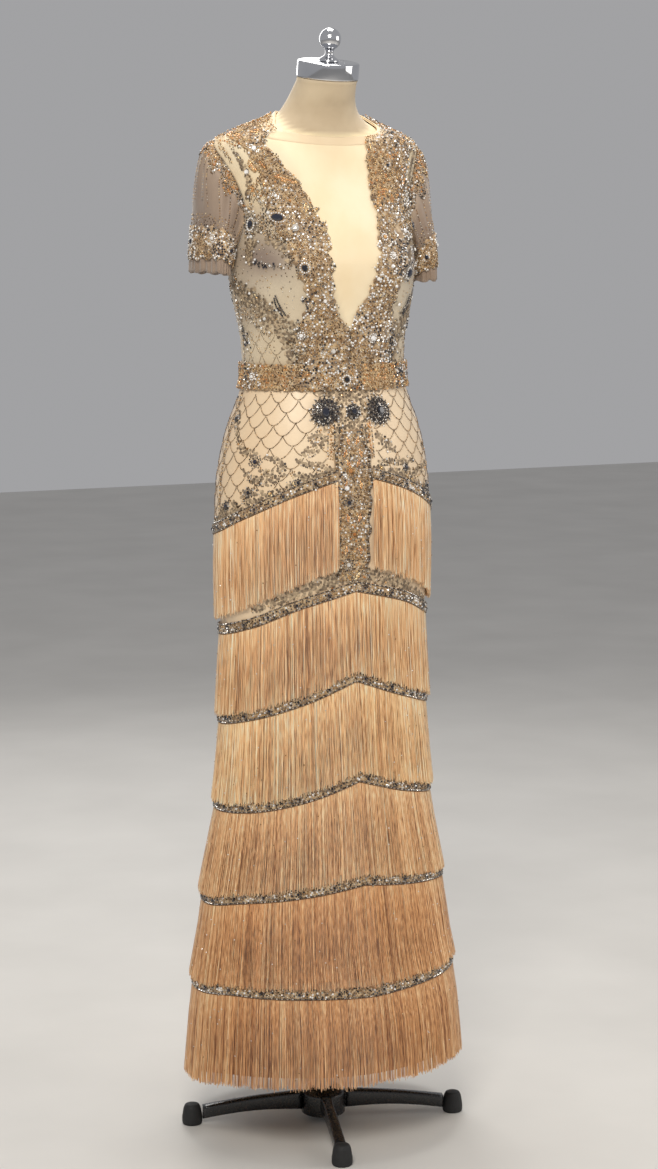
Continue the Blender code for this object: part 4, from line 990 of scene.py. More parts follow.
class BeadWork:
    # beads, cut crystals and stones sewn on one surface without overlaps, and joined into one mesh
    cell = 0.0035

    def __init__(self, name, surface, lift=0.0, outward=1, seed=0):
        self.name, self.surface, self.lift, self.outward = name, surface, lift, outward
        self.local = np.random.default_rng(seed)
        self.sewn = {kind: [] for kind in beadKinds}
        self.taken = {}

    def frameAt(self, u, v):
        # place, outward normal, and the steps in metres along u and v
        along = self.surface(u + 0.25, v, self.lift) - self.surface(u - 0.25, v, self.lift)
        upward = self.surface(u, v + 0.002, self.lift) - self.surface(u, v - 0.002, self.lift)
        normal = unit(np.cross(along, upward)) * self.outward
        return self.surface(u, v, self.lift), normal, along / 0.5, upward / 0.004

    def offset(self, u, v, east, up):
        # the place that lies this many metres along u and v from (u, v)
        u, v, east, up = np.broadcast_arrays(*(np.asarray(value, float) for value in (u, v, east, up)))
        along, upward = self.frameAt(u, v)[2:]
        return u + east / np.linalg.norm(along, axis=-1), v + up / np.linalg.norm(upward, axis=-1)

    def roomFor(self, x, y, z, radius, gap):
        a, b, c = int(x // self.cell), int(y // self.cell), int(z // self.cell)
        for i in (a - 1, a, a + 1):
            for j in (b - 1, b, b + 1):
                for k in (c - 1, c, c + 1):
                    for ox, oy, oz, other in self.taken.get((i, j, k), ()):
                        least = gap * (radius + other)
                        if (x - ox) ** 2 + (y - oy) ** 2 + (z - oz) ** 2 < least * least:
                            return False
        return True

    def keep(self, x, y, z, radius):
        key = (int(x // self.cell), int(y // self.cell), int(z // self.cell))
        self.taken.setdefault(key, []).append((x, y, z, radius))

    def sew(self, kinds, u, v, size, stretch=1.0, aim=None, gap=0.9, tilt=0.0, lift=0.0):
        # aim is the way a long bead points, in radians from u towards v
        u, v = np.atleast_1d(np.asarray(u, float)), np.atleast_1d(np.asarray(v, float))
        if not len(u):
            return
        place, normal, along, upward = self.frameAt(u, v)
        count = len(u)
        kinds = [kinds] * count if isinstance(kinds, str) else kinds
        size = np.broadcast_to(size, count) * self.local.uniform(0.9, 1.1, count)
        aim = self.local.uniform(0, 6.28, count) if aim is None else np.broadcast_to(aim, count)
        way = unit(along) * np.cos(aim)[:, None] + unit(upward) * np.sin(aim)[:, None]
        normal = unit(normal + tilt * self.local.normal(0, 1, (count, 3)))
        place = place + normal * lift
        for number in range(count):
            x, y, z = place[number].tolist()
            radius = float(size[number])
            if gap and not self.roomFor(x, y, z, radius, gap):
                continue
            if kinds[number] != "stitch":
                self.keep(x, y, z, min(radius, 0.0017))
            if radius > 0.0022 or stretch > 1.3:
                reach = way[number] * radius * stretch * 0.7
                aside = np.cross(normal[number], way[number]) * radius * 0.7
                for step in (reach, -reach, aside, -aside):
                    self.keep(*(place[number] + step).tolist(), min(radius, 0.0017))
            self.sewn[kinds[number]].append(np.concatenate([place[number], normal[number], way[number],
                                                            [radius, stretch]]))

    def choose(self, place, weights, patchSize=0.018):
        # kinds picked by weight, in drifting patches
        names = list(weights)
        shares = np.array([weights[name] for name in names], float)
        shares = np.cumsum(shares / shares.sum())
        waves = np.sin(place @ np.array([[1.0, 0.3, -0.5], [-0.4, 1.1, 0.6], [0.7, -0.6, 1.2]]) / patchSize)
        drift = waves.sum(-1) * 0.16
        draw = np.clip(self.local.uniform(0, 1, len(place)) * 0.8 + 0.1 + drift, 0, 0.9999)
        return [names[number] for number in np.searchsorted(shares, draw)]

    def line(self, points, kinds, size, spacing=None, gap=0.8, smooth=True, lift=0.0, stretch=1.0):
        # beads threaded along a path
        path = smoothPath(points) if smooth else np.asarray(points, float)
        place = self.surface(path[:, 0], path[:, 1], self.lift)
        lengths = lengthsAlong(place)
        spacing = spacing or 2.05 * size * stretch
        stops = np.arange(spacing / 2, lengths[-1], spacing)
        u, v = np.interp(stops, lengths, path[:, 0]), np.interp(stops, lengths, path[:, 1])
        names = kinds if isinstance(kinds, str) else [kinds[number % len(kinds)] for number in range(len(stops))]
        aim = 0.0
        if stretch > 1:
            ahead = self.surface(np.interp(stops + 0.0005, lengths, path[:, 0]),
                                 np.interp(stops + 0.0005, lengths, path[:, 1]), self.lift)
            here, normal, along, upward = self.frameAt(u, v)
            way = unit(ahead - here)
            aim = np.arctan2((way * unit(upward)).sum(-1), (way * unit(along)).sum(-1))
        self.sew(names, u, v, size, gap=gap, lift=lift, stretch=stretch, aim=aim)

    def shape(self, u, v, turn, corners):
        # places of corners given in metres about (u, v), turned by an angle
        corners = np.asarray(corners, float)
        east = corners[:, 0] * math.cos(turn) - corners[:, 1] * math.sin(turn)
        up = corners[:, 0] * math.sin(turn) + corners[:, 1] * math.cos(turn)
        return np.stack(self.offset(u, v, east, up), -1)

    def leaf(self, u, v, turn, length, width, edge="bronze", inside="gold", size=0.0011):
        # a leaf from its stem at (u, v): an edge of seeds, a vein, and petals between
        t = np.linspace(0, 1, 9)
        bow = width / 2 * np.sin(math.pi * t ** 0.8)
        for side in (1, -1):
            self.line(self.shape(u, v, turn, np.stack([length * t, side * bow], -1)), edge, size)
        steps, rows = max(2, round(length / 0.0040)), max(1, round((width - 0.003) / 0.0026))
        for number in range(steps):
            share = (number + 0.6) / steps
            room = max(0.0, width / 2 * math.sin(math.pi * share ** 0.8) - 0.0018)
            for across in np.linspace(-1, 1, rows) * room if rows > 1 else (0,):
                spot = self.shape(u, v, turn, [(length * share, across)])[0]
                self.sew(inside, spot[0], spot[1], 0.0015, stretch=1.5, aim=turn, gap=0.62, lift=0.0005)

    def curl(self, u, v, turn, size, hand=1, kinds=("gold",), loops=1.25, bead=0.0012, tail=2.2):
        # a scroll: a spiral that opens out into a tail
        angle = np.linspace(0, 2 * math.pi * loops, 22)
        radius = size * (0.18 + 0.82 * angle / angle[-1])
        corners = np.stack([radius * np.cos(angle), hand * radius * np.sin(angle)], -1)
        way = corners[-1] - corners[-2]
        way = way / np.linalg.norm(way)
        aside = np.array([way[1], -way[0]]) * hand
        ends = [corners[-1] + way * size * step + aside * size * 0.25 * step ** 1.6
                for step in np.linspace(0.3, tail, 5)]
        self.line(self.shape(u, v, turn, np.vstack([corners, ends])), list(kinds), bead)

    def flower(self, u, v, radius, petals, centre="stone", inner="crystal", outer="silver", centreSize=0.0035,
               oval=1.0, aim=0.0):
        self.sew(centre, u, v, centreSize, gap=0, stretch=oval, aim=aim, lift=0.0008)
        for ring, (kind, bead) in enumerate(((inner, 0.0015), (outer, 0.0013))):
            reach = centreSize * 1.12 + bead + ring * (radius - centreSize - 2.6 * bead) * 0.75
            count = max(5, int(2 * math.pi * reach * (0.5 + 0.5 * oval) / (bead * 2.15)))
            angle = np.linspace(0, 2 * math.pi, count, endpoint=False)
            wave = 1 + 0.14 * ring * np.cos(petals * angle)
            corners = np.stack([reach * oval * wave * np.cos(angle), reach * wave * np.sin(angle)], -1)
            places = self.shape(u, v, aim, corners)
            self.sew(kind, places[:, 0], places[:, 1], bead, gap=0.8)

    def fill(self, spine, weights, size=0.00125, spacing=0.0022, ragged=0.18, lobe=0.012, density=1.0,
             patchSize=0.018,
             gap=0.82, stitched=False):
        # a dense field of beads along a spine of (u, v, half width in metres), with lobed edges
        path = smoothPath(spine, 24)
        place = self.surface(path[:, 0], path[:, 1], self.lift)
        lengths = lengthsAlong(place)
        stops = np.arange(0, lengths[-1], spacing)
        u, v, half = (np.interp(stops, lengths, path[:, column]) for column in range(3))
        here, normal, along, upward = self.frameAt(u, v)
        ahead = self.surface(np.interp(stops + 0.001, lengths, path[:, 0]),
                             np.interp(stops + 0.001, lengths, path[:, 1]),
                             self.lift)
        way = unit(ahead - here)
        east, up = (way * unit(along)).sum(-1), (way * unit(upward)).sum(-1)
        phase = self.local.uniform(0, 6.28, 2)
        allU, allV = [], []
        for side in (1, -1):
            limit = half * (1 + ragged * np.sin(stops / lobe * 2 * math.pi + phase[0 if side > 0 else 1])
                            + ragged * 0.5 * np.sin(stops / lobe * 4.7 + phase[1]))
            across = np.arange(spacing / 2 if side < 0 else 0, half.max() * 1.4 + spacing, spacing)
            grid = across[None, :] * side + self.local.uniform(-0.3, 0.3, (len(stops), len(across))) * spacing
            inside = np.abs(grid) <= limit[:, None]
            inside &= self.local.uniform(0, 1, grid.shape) < density
            slide = self.local.uniform(-0.4, 0.4, grid.shape) * spacing
            moveEast = -up[:, None] * grid + east[:, None] * slide
            moveUp = east[:, None] * grid + up[:, None] * slide
            placedU, placedV = self.offset(u[:, None] + 0 * grid, v[:, None] + 0 * grid, moveEast, moveUp)
            allU.append(placedU[inside])
            allV.append(placedV[inside])
        u, v = np.concatenate(allU), np.concatenate(allV)
        order = self.local.permutation(len(u))
        u, v = u[order], v[order]
        if stitched:
            self.sew("stitch", u[::3], v[::3], 0.0023, gap=0, lift=-0.0003)
        kinds = self.choose(self.surface(u, v, self.lift), weights, patchSize)
        sizes = beadSizes(kinds, size)
        self.sew(kinds, u, v, sizes, gap=gap, tilt=0.16)

    def finish(self, slot="beadwork", replaces=()):
        points, faces, smooth, finishIndex, used, start = [], [], [], [], [], 0
        for kind, rows in self.sewn.items():
            if not rows:
                continue
            rows = np.array(rows)
            (shape, corners), finishName, isSmooth = beadKinds[kind]
            place, normal, way = rows[:, None, 0:3], rows[:, None, 3:6], rows[:, None, 6:9]
            side = unit(np.cross(normal, way))
            way = np.cross(side, normal)
            size, stretch = rows[:, None, 9:10], rows[:, None, 10:11]
            local = shape[None]
            points.append((place + size * (way * local[..., 0:1] * stretch + side * local[..., 1:2]
                                           + normal * local[..., 2:3])).reshape(-1, 3))
            count = len(rows)
            faces.append((corners[None] + start + (np.arange(count) * len(shape))[:, None, None]).reshape(-1, 3))
            start += count * len(shape)
            if finishName not in used:
                used.append(finishName)
            smooth.append(np.full(count * len(corners), isSmooth))
            finishIndex.append(np.full(count * len(corners), used.index(finishName)))
        mesh = meshFrom(self.name, np.concatenate(points), np.concatenate(faces), np.concatenate(smooth),
                        np.concatenate(finishIndex))
        addPiece(self.name, mesh, [beadMaterials[beadIndex[name]] for name in used], replaces)
        print(self.name, len(mesh.polygons), "faces")


glitter = {"bronze": 2.3, "gold": 1.8, "silver": 3.3, "crystal": 2.7, "grey": 1.9, "jet": 0.6}
goldGlitter = {"gold": 3.6, "topaz": 0.6, "bronze": 2.0, "silver": 2.0, "crystal": 1.3, "grey": 0.5}
netGlitter = {"gold": 2, "silver": 2, "bronze": 1}
darkGlitter = {"bronze": 2.4, "jet": 0.7, "grey": 1.8, "silver": 3.0, "crystal": 1.9, "gold": 1.6}


# beads on the bodice

# share of the bodice's height, the turns of the applique's inner edge to the right and to the left, and the turn of
# its outer edge
appliqueRows = [
    (0.075, 0.2, 0.2, 36.0), (0.130, 0.2, 0.2, 39.0), (0.190, 0.2, 0.2, 38.0), (0.240, 7.0, 0.8, 34.0),
    (0.280, 11.0, 3.0, 31.0), (0.340, 13.5, 8.5, 30.0), (0.400, 15.5, 11.5, 33.0), (0.460, 15.5, 13.0, 36.0),
    (0.530, 18.0, 16.5, 46.0), (0.600, 20.0, 19.5, 62.0), (0.680, 29.0, 23.5, 68.0), (0.750, 33.0, 20.5, 66.0),
    (0.830, 39.5, 20.0, 62.0), (0.890, 43.0, 19.5, 61.0), (0.930, 44.0, 19.0, 68.0), (0.965, 43.0, 19.0, 74.0),
]
appliqueShares, rightEdge, leftEdge, outerEdge = zip(*appliqueRows)
innerEdges = {-1: curveThrough(appliqueShares, rightEdge), 1: curveThrough(appliqueShares, leftEdge)}
outerCurve = curveThrough(appliqueShares, outerEdge)

# how far out the dense beads reach at shares of the height
denseEdge = curveThrough(
    [0.03, 0.09, 0.15, 0.20, 0.25, 0.30, 0.35, 0.40, 0.46, 0.52, 0.545, 0.56, 0.61, 0.70, 0.74, 0.78, 0.83, 0.875,
     0.893, 0.905, 1.0],
    [40, 40, 42, 38, 33, 31, 30, 33, 36, 40, 56, 76, 87, 84, 74, 67, 64, 62, 70, 89, 89.5])

bodiceBeads = {
    "lift": 0.0019,
    # flowers as turn, share, radius, petals, size and stretch of the stone, its angle and kind
    "flowers": {
        -1: [(82, 0.585, 0.0125, 7, 0.0044, 1.4, 90, "stone"), (58, 0.628, 0.0155, 8, 0.0048, 1.8, 0, "stone"),
             (31, 0.452, 0.0145, 8, 0.0050, 1.0, 0, "stone"), (54, 0.905, 0.0100, 7, 0.0040, 1.0, 0, "crystal"),
             (57, 0.715, 0.0120, 8, 0.0026, 1.0, 0, "crystal"), (34, 0.175, 0.010, 7, 0.0032, 1.0, 0, "crystal")],
        1: [(24, 0.575, 0.0130, 6, 0.0030, 1.0, 0, "topaz"), (38, 0.425, 0.0125, 8, 0.0046, 1.3, 60, "stone"),
            (37, 0.860, 0.0135, 9, 0.0032, 1.0, 0, "jet"), (84, 0.580, 0.0110, 7, 0.0040, 1.2, 90, "stone"),
            (17, 0.163, 0.0105, 7, 0.0044, 1.0, 0, "crystal"), (24, 0.500, 0.0115, 7, 0.0030, 1.0, 0, "crystal")],
    },
    "crystals": {
        -1: [(43.5, 0.598, 0.0062), (73, 0.795, 0.0040), (19, 0.325, 0.0030), (60, 0.235, 0.0028),
             (12, 0.110, 0.0040),
             (66, 0.640, 0.0030), (50, 0.655, 0.0026), (48, 0.590, 0.0028), (78, 0.540, 0.0026), (70, 0.330, 0.0024)],
        1: [(23, 0.460, 0.0032), (14, 0.415, 0.0030), (50, 0.580, 0.0034), (5, 0.245, 0.0028), (44, 0.640, 0.0026),
            (36, 0.300, 0.0026), (28, 0.380, 0.0026), (60, 0.500, 0.0030)],
    },
    # leaves as turn, share, direction, length, width and filling; 180 degrees points to centre front, 90 upwards
    "leaves": {
        -1: [(54, 0.800, 188, 0.040, 0.0120, "amberPetal"), (66, 0.800, 100, 0.022, 0.0110, "amberPetal"),
             (58, 0.860, 250, 0.020, 0.0100, "amberPetal"), (36, 0.665, 105, 0.020, 0.0090, "petal"),
             (31, 0.675, 150, 0.014, 0.0060, "petal"), (42, 0.945, 80, 0.018, 0.0055, "petal"),
             (42, 0.880, 280, 0.013, 0.0050, "petal"), (38, 0.800, 215, 0.010, 0.0050, "petal"),
             (88, 0.925, 178, 0.030, 0.0105, "amberPetal"), (70, 0.935, 185, 0.024, 0.0100, "amberPetal"),
             (60, 0.955, 120, 0.018, 0.0090, "amberPetal"), (50, 0.955, 40, 0.016, 0.0080, "petal"),
             (72, 0.840, 100, 0.014, 0.0060, "petal"), (70, 0.730, 300, 0.014, 0.0060, "petal"),
             (12, 0.265, 160, 0.008, 0.0050, "petal"), (46, 0.700, 60, 0.015, 0.0070, "amberPetal"),
             (64, 0.310, 60, 0.013, 0.0060, "petal"), (82, 0.375, 50, 0.012, 0.0060, "petal")],
        1: [(39, 0.755, 180, 0.027, 0.0110, "amberPetal"), (26, 0.680, 300, 0.014, 0.0060, "petal"),
            (22, 0.935, 100, 0.016, 0.0055, "petal"), (60, 0.935, 10, 0.026, 0.0100, "amberPetal"),
            (48, 0.930, 60, 0.020, 0.0090, "amberPetal"), (50, 0.790, 80, 0.018, 0.0080, "amberPetal"),
            (16, 0.330, 60, 0.012, 0.0060, "petal"), (30, 0.250, 80, 0.014, 0.0060, "petal"),
            (32, 0.560, 120, 0.016, 0.0060, "petal"), (44, 0.700, 110, 0.018, 0.0080, "amberPetal")],
    },
    # scrolls as turn, share, direction, size and hand
    "scrolls": {
        -1: [(39, 0.690, 70, 0.0062, 1), (26, 0.600, 250, 0.0062, -1), (59, 0.850, 80, 0.0062, 1),
             (24, 0.380, 260, 0.0055, 1),
             (22, 0.270, 60, 0.0058, -1), (50, 0.880, 200, 0.0055, -1), (10, 0.170, 100, 0.0052, 1),
             (28, 0.100, 30, 0.0062, 1), (70, 0.600, 120, 0.0050, 1), (36, 0.530, 200, 0.0050, -1)],
        1: [(46, 0.820, 70, 0.0060, 1), (34, 0.650, 60, 0.0056, -1), (30, 0.330, 80, 0.0056, 1),
            (12, 0.300, 250, 0.0050, -1),
            (20, 0.230, 60, 0.0058, 1), (10, 0.120, 80, 0.0056, -1), (30, 0.120, 30, 0.0060, 1),
            (56, 0.660, 90, 0.0052, -1)],
    },
    # windows of bare net in the dense beads, as turn, share, half width in degrees and half height as a share
    "windows": {
        -1: [(76, 0.655, 3.5, 0.028)],
        1: [(30, 0.660, 7.5, 0.017), (42, 0.585, 4.0, 0.030), (78, 0.860, 8.0, 0.035)],
    },
    # sprays as turn, share and half width, with their density
    "sprays": {
        "armholeStrip": ([(71, 0.885, 0.0022), (72, 0.840, 0.0050), (74, 0.780, 0.0050), (78, 0.730, 0.0055),
                          (84, 0.68, 0.0060)],
                         0.95),
        "capEdge": ([(84, 0.915, 0.0060), (81, 0.885, 0.0050), (80, 0.855, 0.0040), (82, 0.825, 0.0030)], 0.7),
        "armStream": ([(82, 0.560, 0.0090), (76, 0.520, 0.0110), (70, 0.480, 0.0090), (66, 0.440, 0.0050)], 0.9),
        "bustArc": ([(66, 0.545, 0.0045), (54, 0.530, 0.0065), (44, 0.505, 0.0060), (37, 0.470, 0.0060)], 0.8),
        "bustLower": ([(72, 0.460, 0.0040), (60, 0.447, 0.0042), (48, 0.450, 0.0035), (38, 0.455, 0.0045)], 0.5),
        "underBust": ([(89, 0.365, 0.0080), (76, 0.325, 0.0140), (64, 0.280, 0.0150), (52, 0.235, 0.0150),
                       (43, 0.185, 0.0150),
                       (38, 0.120, 0.0140), (36, 0.040, 0.0120)], 1.0),
        "underSide": ([(88, 0.300, 0.0040), (78, 0.250, 0.0070), (66, 0.210, 0.0070), (56, 0.170, 0.0050)], 0.7),
        "side": ([(90, 0.250, 0.0060), (86, 0.180, 0.0080), (80, 0.110, 0.0060)], 0.4),
    },
}


def sideways(degrees, side):
    return math.radians(degrees if side > 0 else 180 - degrees)


def beadBodice(look, side):
    work = BeadWork(f"bodiceBeads{sideName(side)}", bodicePoint, look["lift"], seed=21 + side)
    for turn, share, radius, petals, size, stretch, aim, kind in look["flowers"][side]:
        work.flower(side * turn, share, radius, petals, centre=kind, centreSize=size, oval=stretch,
                    aim=sideways(aim, side), outer="grey" if kind == "stone" else "silver")
    for turn, share, size in look["crystals"][side]:
        work.sew("crystal", side * turn, share, size, gap=0.5, lift=0.0006)
    for turn, share, aim, length, width, inside in look["leaves"][side]:
        work.leaf(side * turn, share, sideways(aim, side), length, width,
                  "gold" if inside == "amberPetal" else "silver",
                  inside)
    for turn, share, aim, size, hand in look["scrolls"][side]:
        work.curl(side * turn, share, sideways(aim, side), size, hand * side, ("gold", "silver", "gold"))
    for sprig in ([(50, 0.335), (48, 0.300), (44, 0.255)], [(51, 0.325), (50, 0.290), (46, 0.250)]):
        work.line([(side * turn, share) for turn, share in sprig], ["jet", "grey", "jet"], 0.0015)
    fillApplique(work, look, side)
    for spine, density in look["sprays"].values():
        weights = goldGlitter if spine[0][1] > 0.9 else glitter
        work.fill([(side * turn, share, half) for turn, share, half in spine], weights, density=density, ragged=0.3,
                  stitched=density > 0.75)
    work.line([(side * 88.5, share) for share in np.linspace(0.02, 0.36, 12)], ["silver", "gold", "bronze"], 0.0013,
              smooth=False)
    scatterNet(work, side)
    work.finish()


def fillApplique(work, look, side):
    # the dense field between the applique's edges, lobed like leaves and thick over the shoulder
    heights = np.arange(0.020, 0.998, 0.0070)
    inner, outer = innerEdges[side](heights), denseEdge(heights)
    lobeOut = (2.0 * np.sin(heights * 62) + 1.0 * np.sin(heights * 141 + side)) * (heights < 0.89)
    lobeIn = np.where(inner > 2, 1.2 * np.sin(heights * 75 + 1) + 0.8 * np.sin(heights * 160), 0)
    allU, allV = [], []
    for share, low, high in zip(heights, inner + lobeIn, outer + lobeOut):
        turns = np.arange(low, high, 1.16)
        allU.append(turns + work.local.uniform(-0.4, 0.4, len(turns)))
        allV.append(share + work.local.uniform(-0.0026, 0.0026, len(turns)))
    u, v = np.concatenate(allU), np.concatenate(allV)
    bare = np.zeros(len(u), bool)
    for turn, share, halfTurn, halfShare in look["windows"][side]:
        bare |= ((u - turn) / halfTurn) ** 2 + ((v - share) / halfShare) ** 2 < 1
    u, v = u[~bare], v[~bare]
    order = work.local.permutation(len(u))
    u, v = side * np.maximum(u[order], 0.4), v[order]
    high = v > 0.70
    thick = 0.0030 * np.clip((v - 0.90) / 0.03, 0, 1) * np.clip((np.abs(u) - 62) / 14, 0, 1)
    for part, weights in ((high, goldGlitter), (~high, glitter)):
        kinds = work.choose(bodicePoint(u[part], v[part]), weights)
        sizes = beadSizes(kinds, 0.00125, 1.45)
        work.sew(kinds, u[part], v[part], sizes, gap=0.86, tilt=0.16, lift=thick[part][:, None])


def scatterNet(work, side):
    # small beads dotted over the bare net at the sides, and faint scales above the belt
    count = 300
    turn, share = work.local.uniform(36, 90, count), work.local.uniform(0.03, 0.52, count)
    work.sew(work.choose(bodicePoint(turn, share), netGlitter), side * turn, share, 0.0010,
             gap=1.6, lift=-0.0014)
    for row in range(4):
        for column in range(4):
            start = 40 + 13 * (column + 0.5 * (row % 2))
            x = np.linspace(0, 1, 9)
            path = np.stack([side * (start + 13 * x), 0.18 - 0.045 * row - 0.045 * np.sin(math.pi * x) ** 0.8], -1)
            path = path[(np.abs(path[:, 0]) < 89) & (path[:, 1] > 0.02)]
            if len(path) > 3:
                work.line(path, "bronze", 0.0007, spacing=0.0021, lift=-0.0014, smooth=False)


appliqueLook = {"low": 0.045, "high": 0.975, "rows": 170, "columns": 12, "lift": 0.0016, "wall": 0.0009}


def makeApplique(look, side):
    # the tulle that the dense field is sewn on
    shares = np.linspace(look["low"], look["high"], look["rows"])
    inner = innerEdges[side](shares)
    inner = inner + np.where(inner > 2, 0.9 * np.sin(shares * 150), 0)
    outer = outerCurve(shares) + 1.2 * np.sin(shares * 124)
    turn = inner[:, None] + (outer - inner)[:, None] * np.linspace(0, 1, look["columns"])
    grid = bodicePoint(side * turn, shares[:, None] + 0 * turn, look["lift"])
    grid = forSide(grid, side)
    piece = addSheet(f"applique{sideName(side)}", grid, finishes["beadedTulle"], look["wall"],
                     replaces=[f"applique_{sideName(side).lower()}"])


yokeLook = {"low": 0.925, "high": 0.988, "rows": 16, "halfTurn": 16, "columns": 33, "lift": 0.0016, "swell": 0.0022,
            "wall": 0.0009}


def makeYoke(look, side):
    # thickly beaded tulle over the shoulder, from the neck to the sleeve
    low, high, half = look["low"], look["high"], look["halfTurn"]
    share, turn = np.meshgrid(np.linspace(low, high, look["rows"]),
                              np.linspace(90 - half, 90 + half, look["columns"]),
                              indexing="ij")
    rim = np.clip(np.minimum(np.minimum(share - low, high - share) / 0.012, (half - np.abs(turn - 90)) / 4), 0, 1)
    grid = bodicePoint(side * turn, share, look["lift"] + look["swell"] * rim)
    grid = forSide(grid, side)
    piece = addSheet(f"shoulderYoke{sideName(side)}", grid, finishes["beadedTulle"], look["wall"])


for side in (-1, 1):
    makeApplique(appliqueLook, side)
    makeYoke(yokeLook, side)
    beadBodice(bodiceBeads, side)


def beadBack():
    # a plainer back: leaves of beads beside the closed seam, and a light scatter
    work = BeadWork("bodiceBeadsBack", bodicePoint, 0.0004, seed=31)
    for side in (-1, 1):
        work.lift = 0.0038
        work.fill([(side * 92, 0.935, 0.010), (side * 92, 0.960, 0.010), (side * 92, 0.985, 0.008)], goldGlitter,
                  ragged=0.1)
        work.fill([(side * 100, 0.935, 0.010), (side * 101, 0.960, 0.009), (side * 102, 0.985, 0.007)], goldGlitter,
                  ragged=0.2)
        work.lift = 0.0004
        work.fill([(side * 108, 0.945, 0.014), (side * 122, 0.955, 0.012), (side * 142, 0.965, 0.007)], goldGlitter,
                  ragged=0.25)
        work.fill([(side * 176, 0.06, 0.006), (side * 172, 0.18, 0.009), (side * 174, 0.34, 0.006),
                   (side * 177, 0.5, 0.003)],
                  glitter, ragged=0.3)
        work.fill([(side * 92, 0.345, 0.007), (side * 112, 0.30, 0.0085), (side * 135, 0.20, 0.009),
                   (side * 158, 0.10, 0.008)],
                  glitter, ragged=0.25)
        work.line([(side * 178.6, share) for share in np.linspace(0.02, 0.96, 30)], ["gold", "silver"], 0.0011,
                  smooth=False)
        count = 420
        turn, share = work.local.uniform(92, 178, count), work.local.uniform(0.03, 0.9, count)
        work.sew(work.choose(bodicePoint(turn, share), netGlitter), side * turn, share, 0.0009,
                 gap=1.8)
    work.finish()


beadBack()


def makeNeckBinding():
    # the folded net edge of the round neckline
    turns = np.linspace(0, 360, 180, endpoint=False)
    turn, drop = np.meshgrid(turns, np.linspace(0.045, 0.0, 7))
    edge = 1 - drop * (1 - 0.2 * np.cos(np.radians(turn)))
    bead = 0.0006 * np.exp(-(drop / 0.006) ** 2)
    lean = 0.0028 * np.exp(-(drop / 0.010) ** 2) * np.clip((np.abs(wrapTurn(turn)) - 30) / 30, 0, 1)
    grid = bodicePoint(wrapTurn(turn), edge, 0.0002 + bead - lean)
    piece = addSheet("neckBinding", grid, neckNet, 0.0012, closed=True)
    setAttribute(piece.data, "veilAndShade", np.full(turn.shape, 0.12))


makeNeckBinding()
print("bodice beads made")


# beads on the sleeves and cuffs

sleeveBeads = {
    "leaves": [(350, 0.10, 0.016), (15, 0.13, 0.017), (40, 0.12, 0.016), (62, 0.06, 0.012), (320, 0.10, 0.014)],
    "strands": 19, "cuffFlowers": [(350, 0.45), (48, 0.35), (105, 0.5), (225, 0.5), (290, 0.5)],
    # how far down the shoulder's beads reach on the sleeve, by angle
    "capReach": [(0, 0.20), (25, 0.24), (50, 0.28), (72, 0.29), (92, 0.18), (110, 0.05), (125, 0.0), (280, 0.0),
                 (300, 0.10), (335, 0.18), (360, 0.20)],
}


def scatterOver(work, surface, angles, shares, count, weights, size, gap, room):
    # beads spread over a patch of a sleeve where room(angle, share) is true
    angle, share = work.local.uniform(*angles, count), work.local.uniform(*shares, count)
    inside = room(angle, share)
    angle, share = angle[inside], share[inside]
    kinds = work.choose(surface(angle, share), weights, 0.012)
    sizes = beadSizes(kinds, size)
    work.sew(kinds, angle, share, sizes, gap=gap, tilt=0.15)


def beadSleeve(look, side):
    def onSleeve(angle, share, lift=0.0):
        return sleevePoint(angle, share, sleeveLift(np.asarray(angle, float), np.asarray(share, float),
                                                    sleeveLook) + lift,
                           side)

    work = BeadWork(f"sleeveBeads{sideName(side)}", onSleeve, 0.0004, side, seed=41 + side)
    for angle, share, length in look["leaves"]:
        work.leaf(angle, share - 0.04, math.radians(90), length, 0.008, "gold", "amberPetal")
    reachAngles, reachShares = zip(*look["capReach"])

    def nearCap(angle, share):
        turn = np.mod(angle, 360)
        return share < np.interp(turn, reachAngles, reachShares) * (1 + 0.25 * np.sin(np.radians(turn) * 12))

    scatterOver(work, onSleeve, (-80, 125), (0.0, 0.36), 12000, goldGlitter, 0.0012, 0.84, nearCap)
    for number in range(look["strands"]):
        angle = 360 * number / look["strands"] + work.local.uniform(-5, 5)
        shares = np.arange(0.16, 0.60, 0.020) + work.local.uniform(-0.008, 0.008)
        drift = angle + 5 * np.sin(shares * 7 + number)
        work.sew(work.choose(onSleeve(drift, shares), {"silver": 2, "gold": 2, "bronze": 1}), drift, shares, 0.0010,
                 gap=1.1)

    def aboveCuff(angle, share):
        return (share > cuffShare(angle, -0.42)) & (share < cuffShare(angle, 0.02))

    scatterOver(work, onSleeve, (0, 360), (0.35, 0.75), 2600, {"silver": 2, "gold": 2, "bronze": 2}, 0.0011, 1.5,
                aboveCuff)
    work.finish("net")

    def onCuff(angle, across, lift=0.0):
        share = cuffShare(angle, across)
        return sleevePoint(angle, share, cuffLook["lift"] + 0.0003 + lift, side)

    cuff = BeadWork(f"cuffBeads{sideName(side)}", onCuff, 0.0, side, seed=51 + side)
    for number, (angle, across) in enumerate(look["cuffFlowers"]):
        cuff.flower(angle, across, 0.009, 7, centreSize=0.0034, centre="crystal" if number % 2 else "stone")
    scatterOver(cuff, onCuff, (0, 360), (-0.06, 1.04), 15000, glitter, 0.00125, 0.9,
                lambda angle, across: np.abs(across - 0.5) < 0.47 + 0.07 * np.sin(np.radians(angle) * 14))
    cuff.finish()


for side in (-1, 1):
    beadSleeve(sleeveBeads, side)
print("sleeve beads made")


# belt, hips, centre panel, rosettes and trim bands

def onBelt(turn, height, lift=0.0):
    return skirtPoint(turn, height, beltLook["lift"] + 0.0006 + np.asarray(lift))


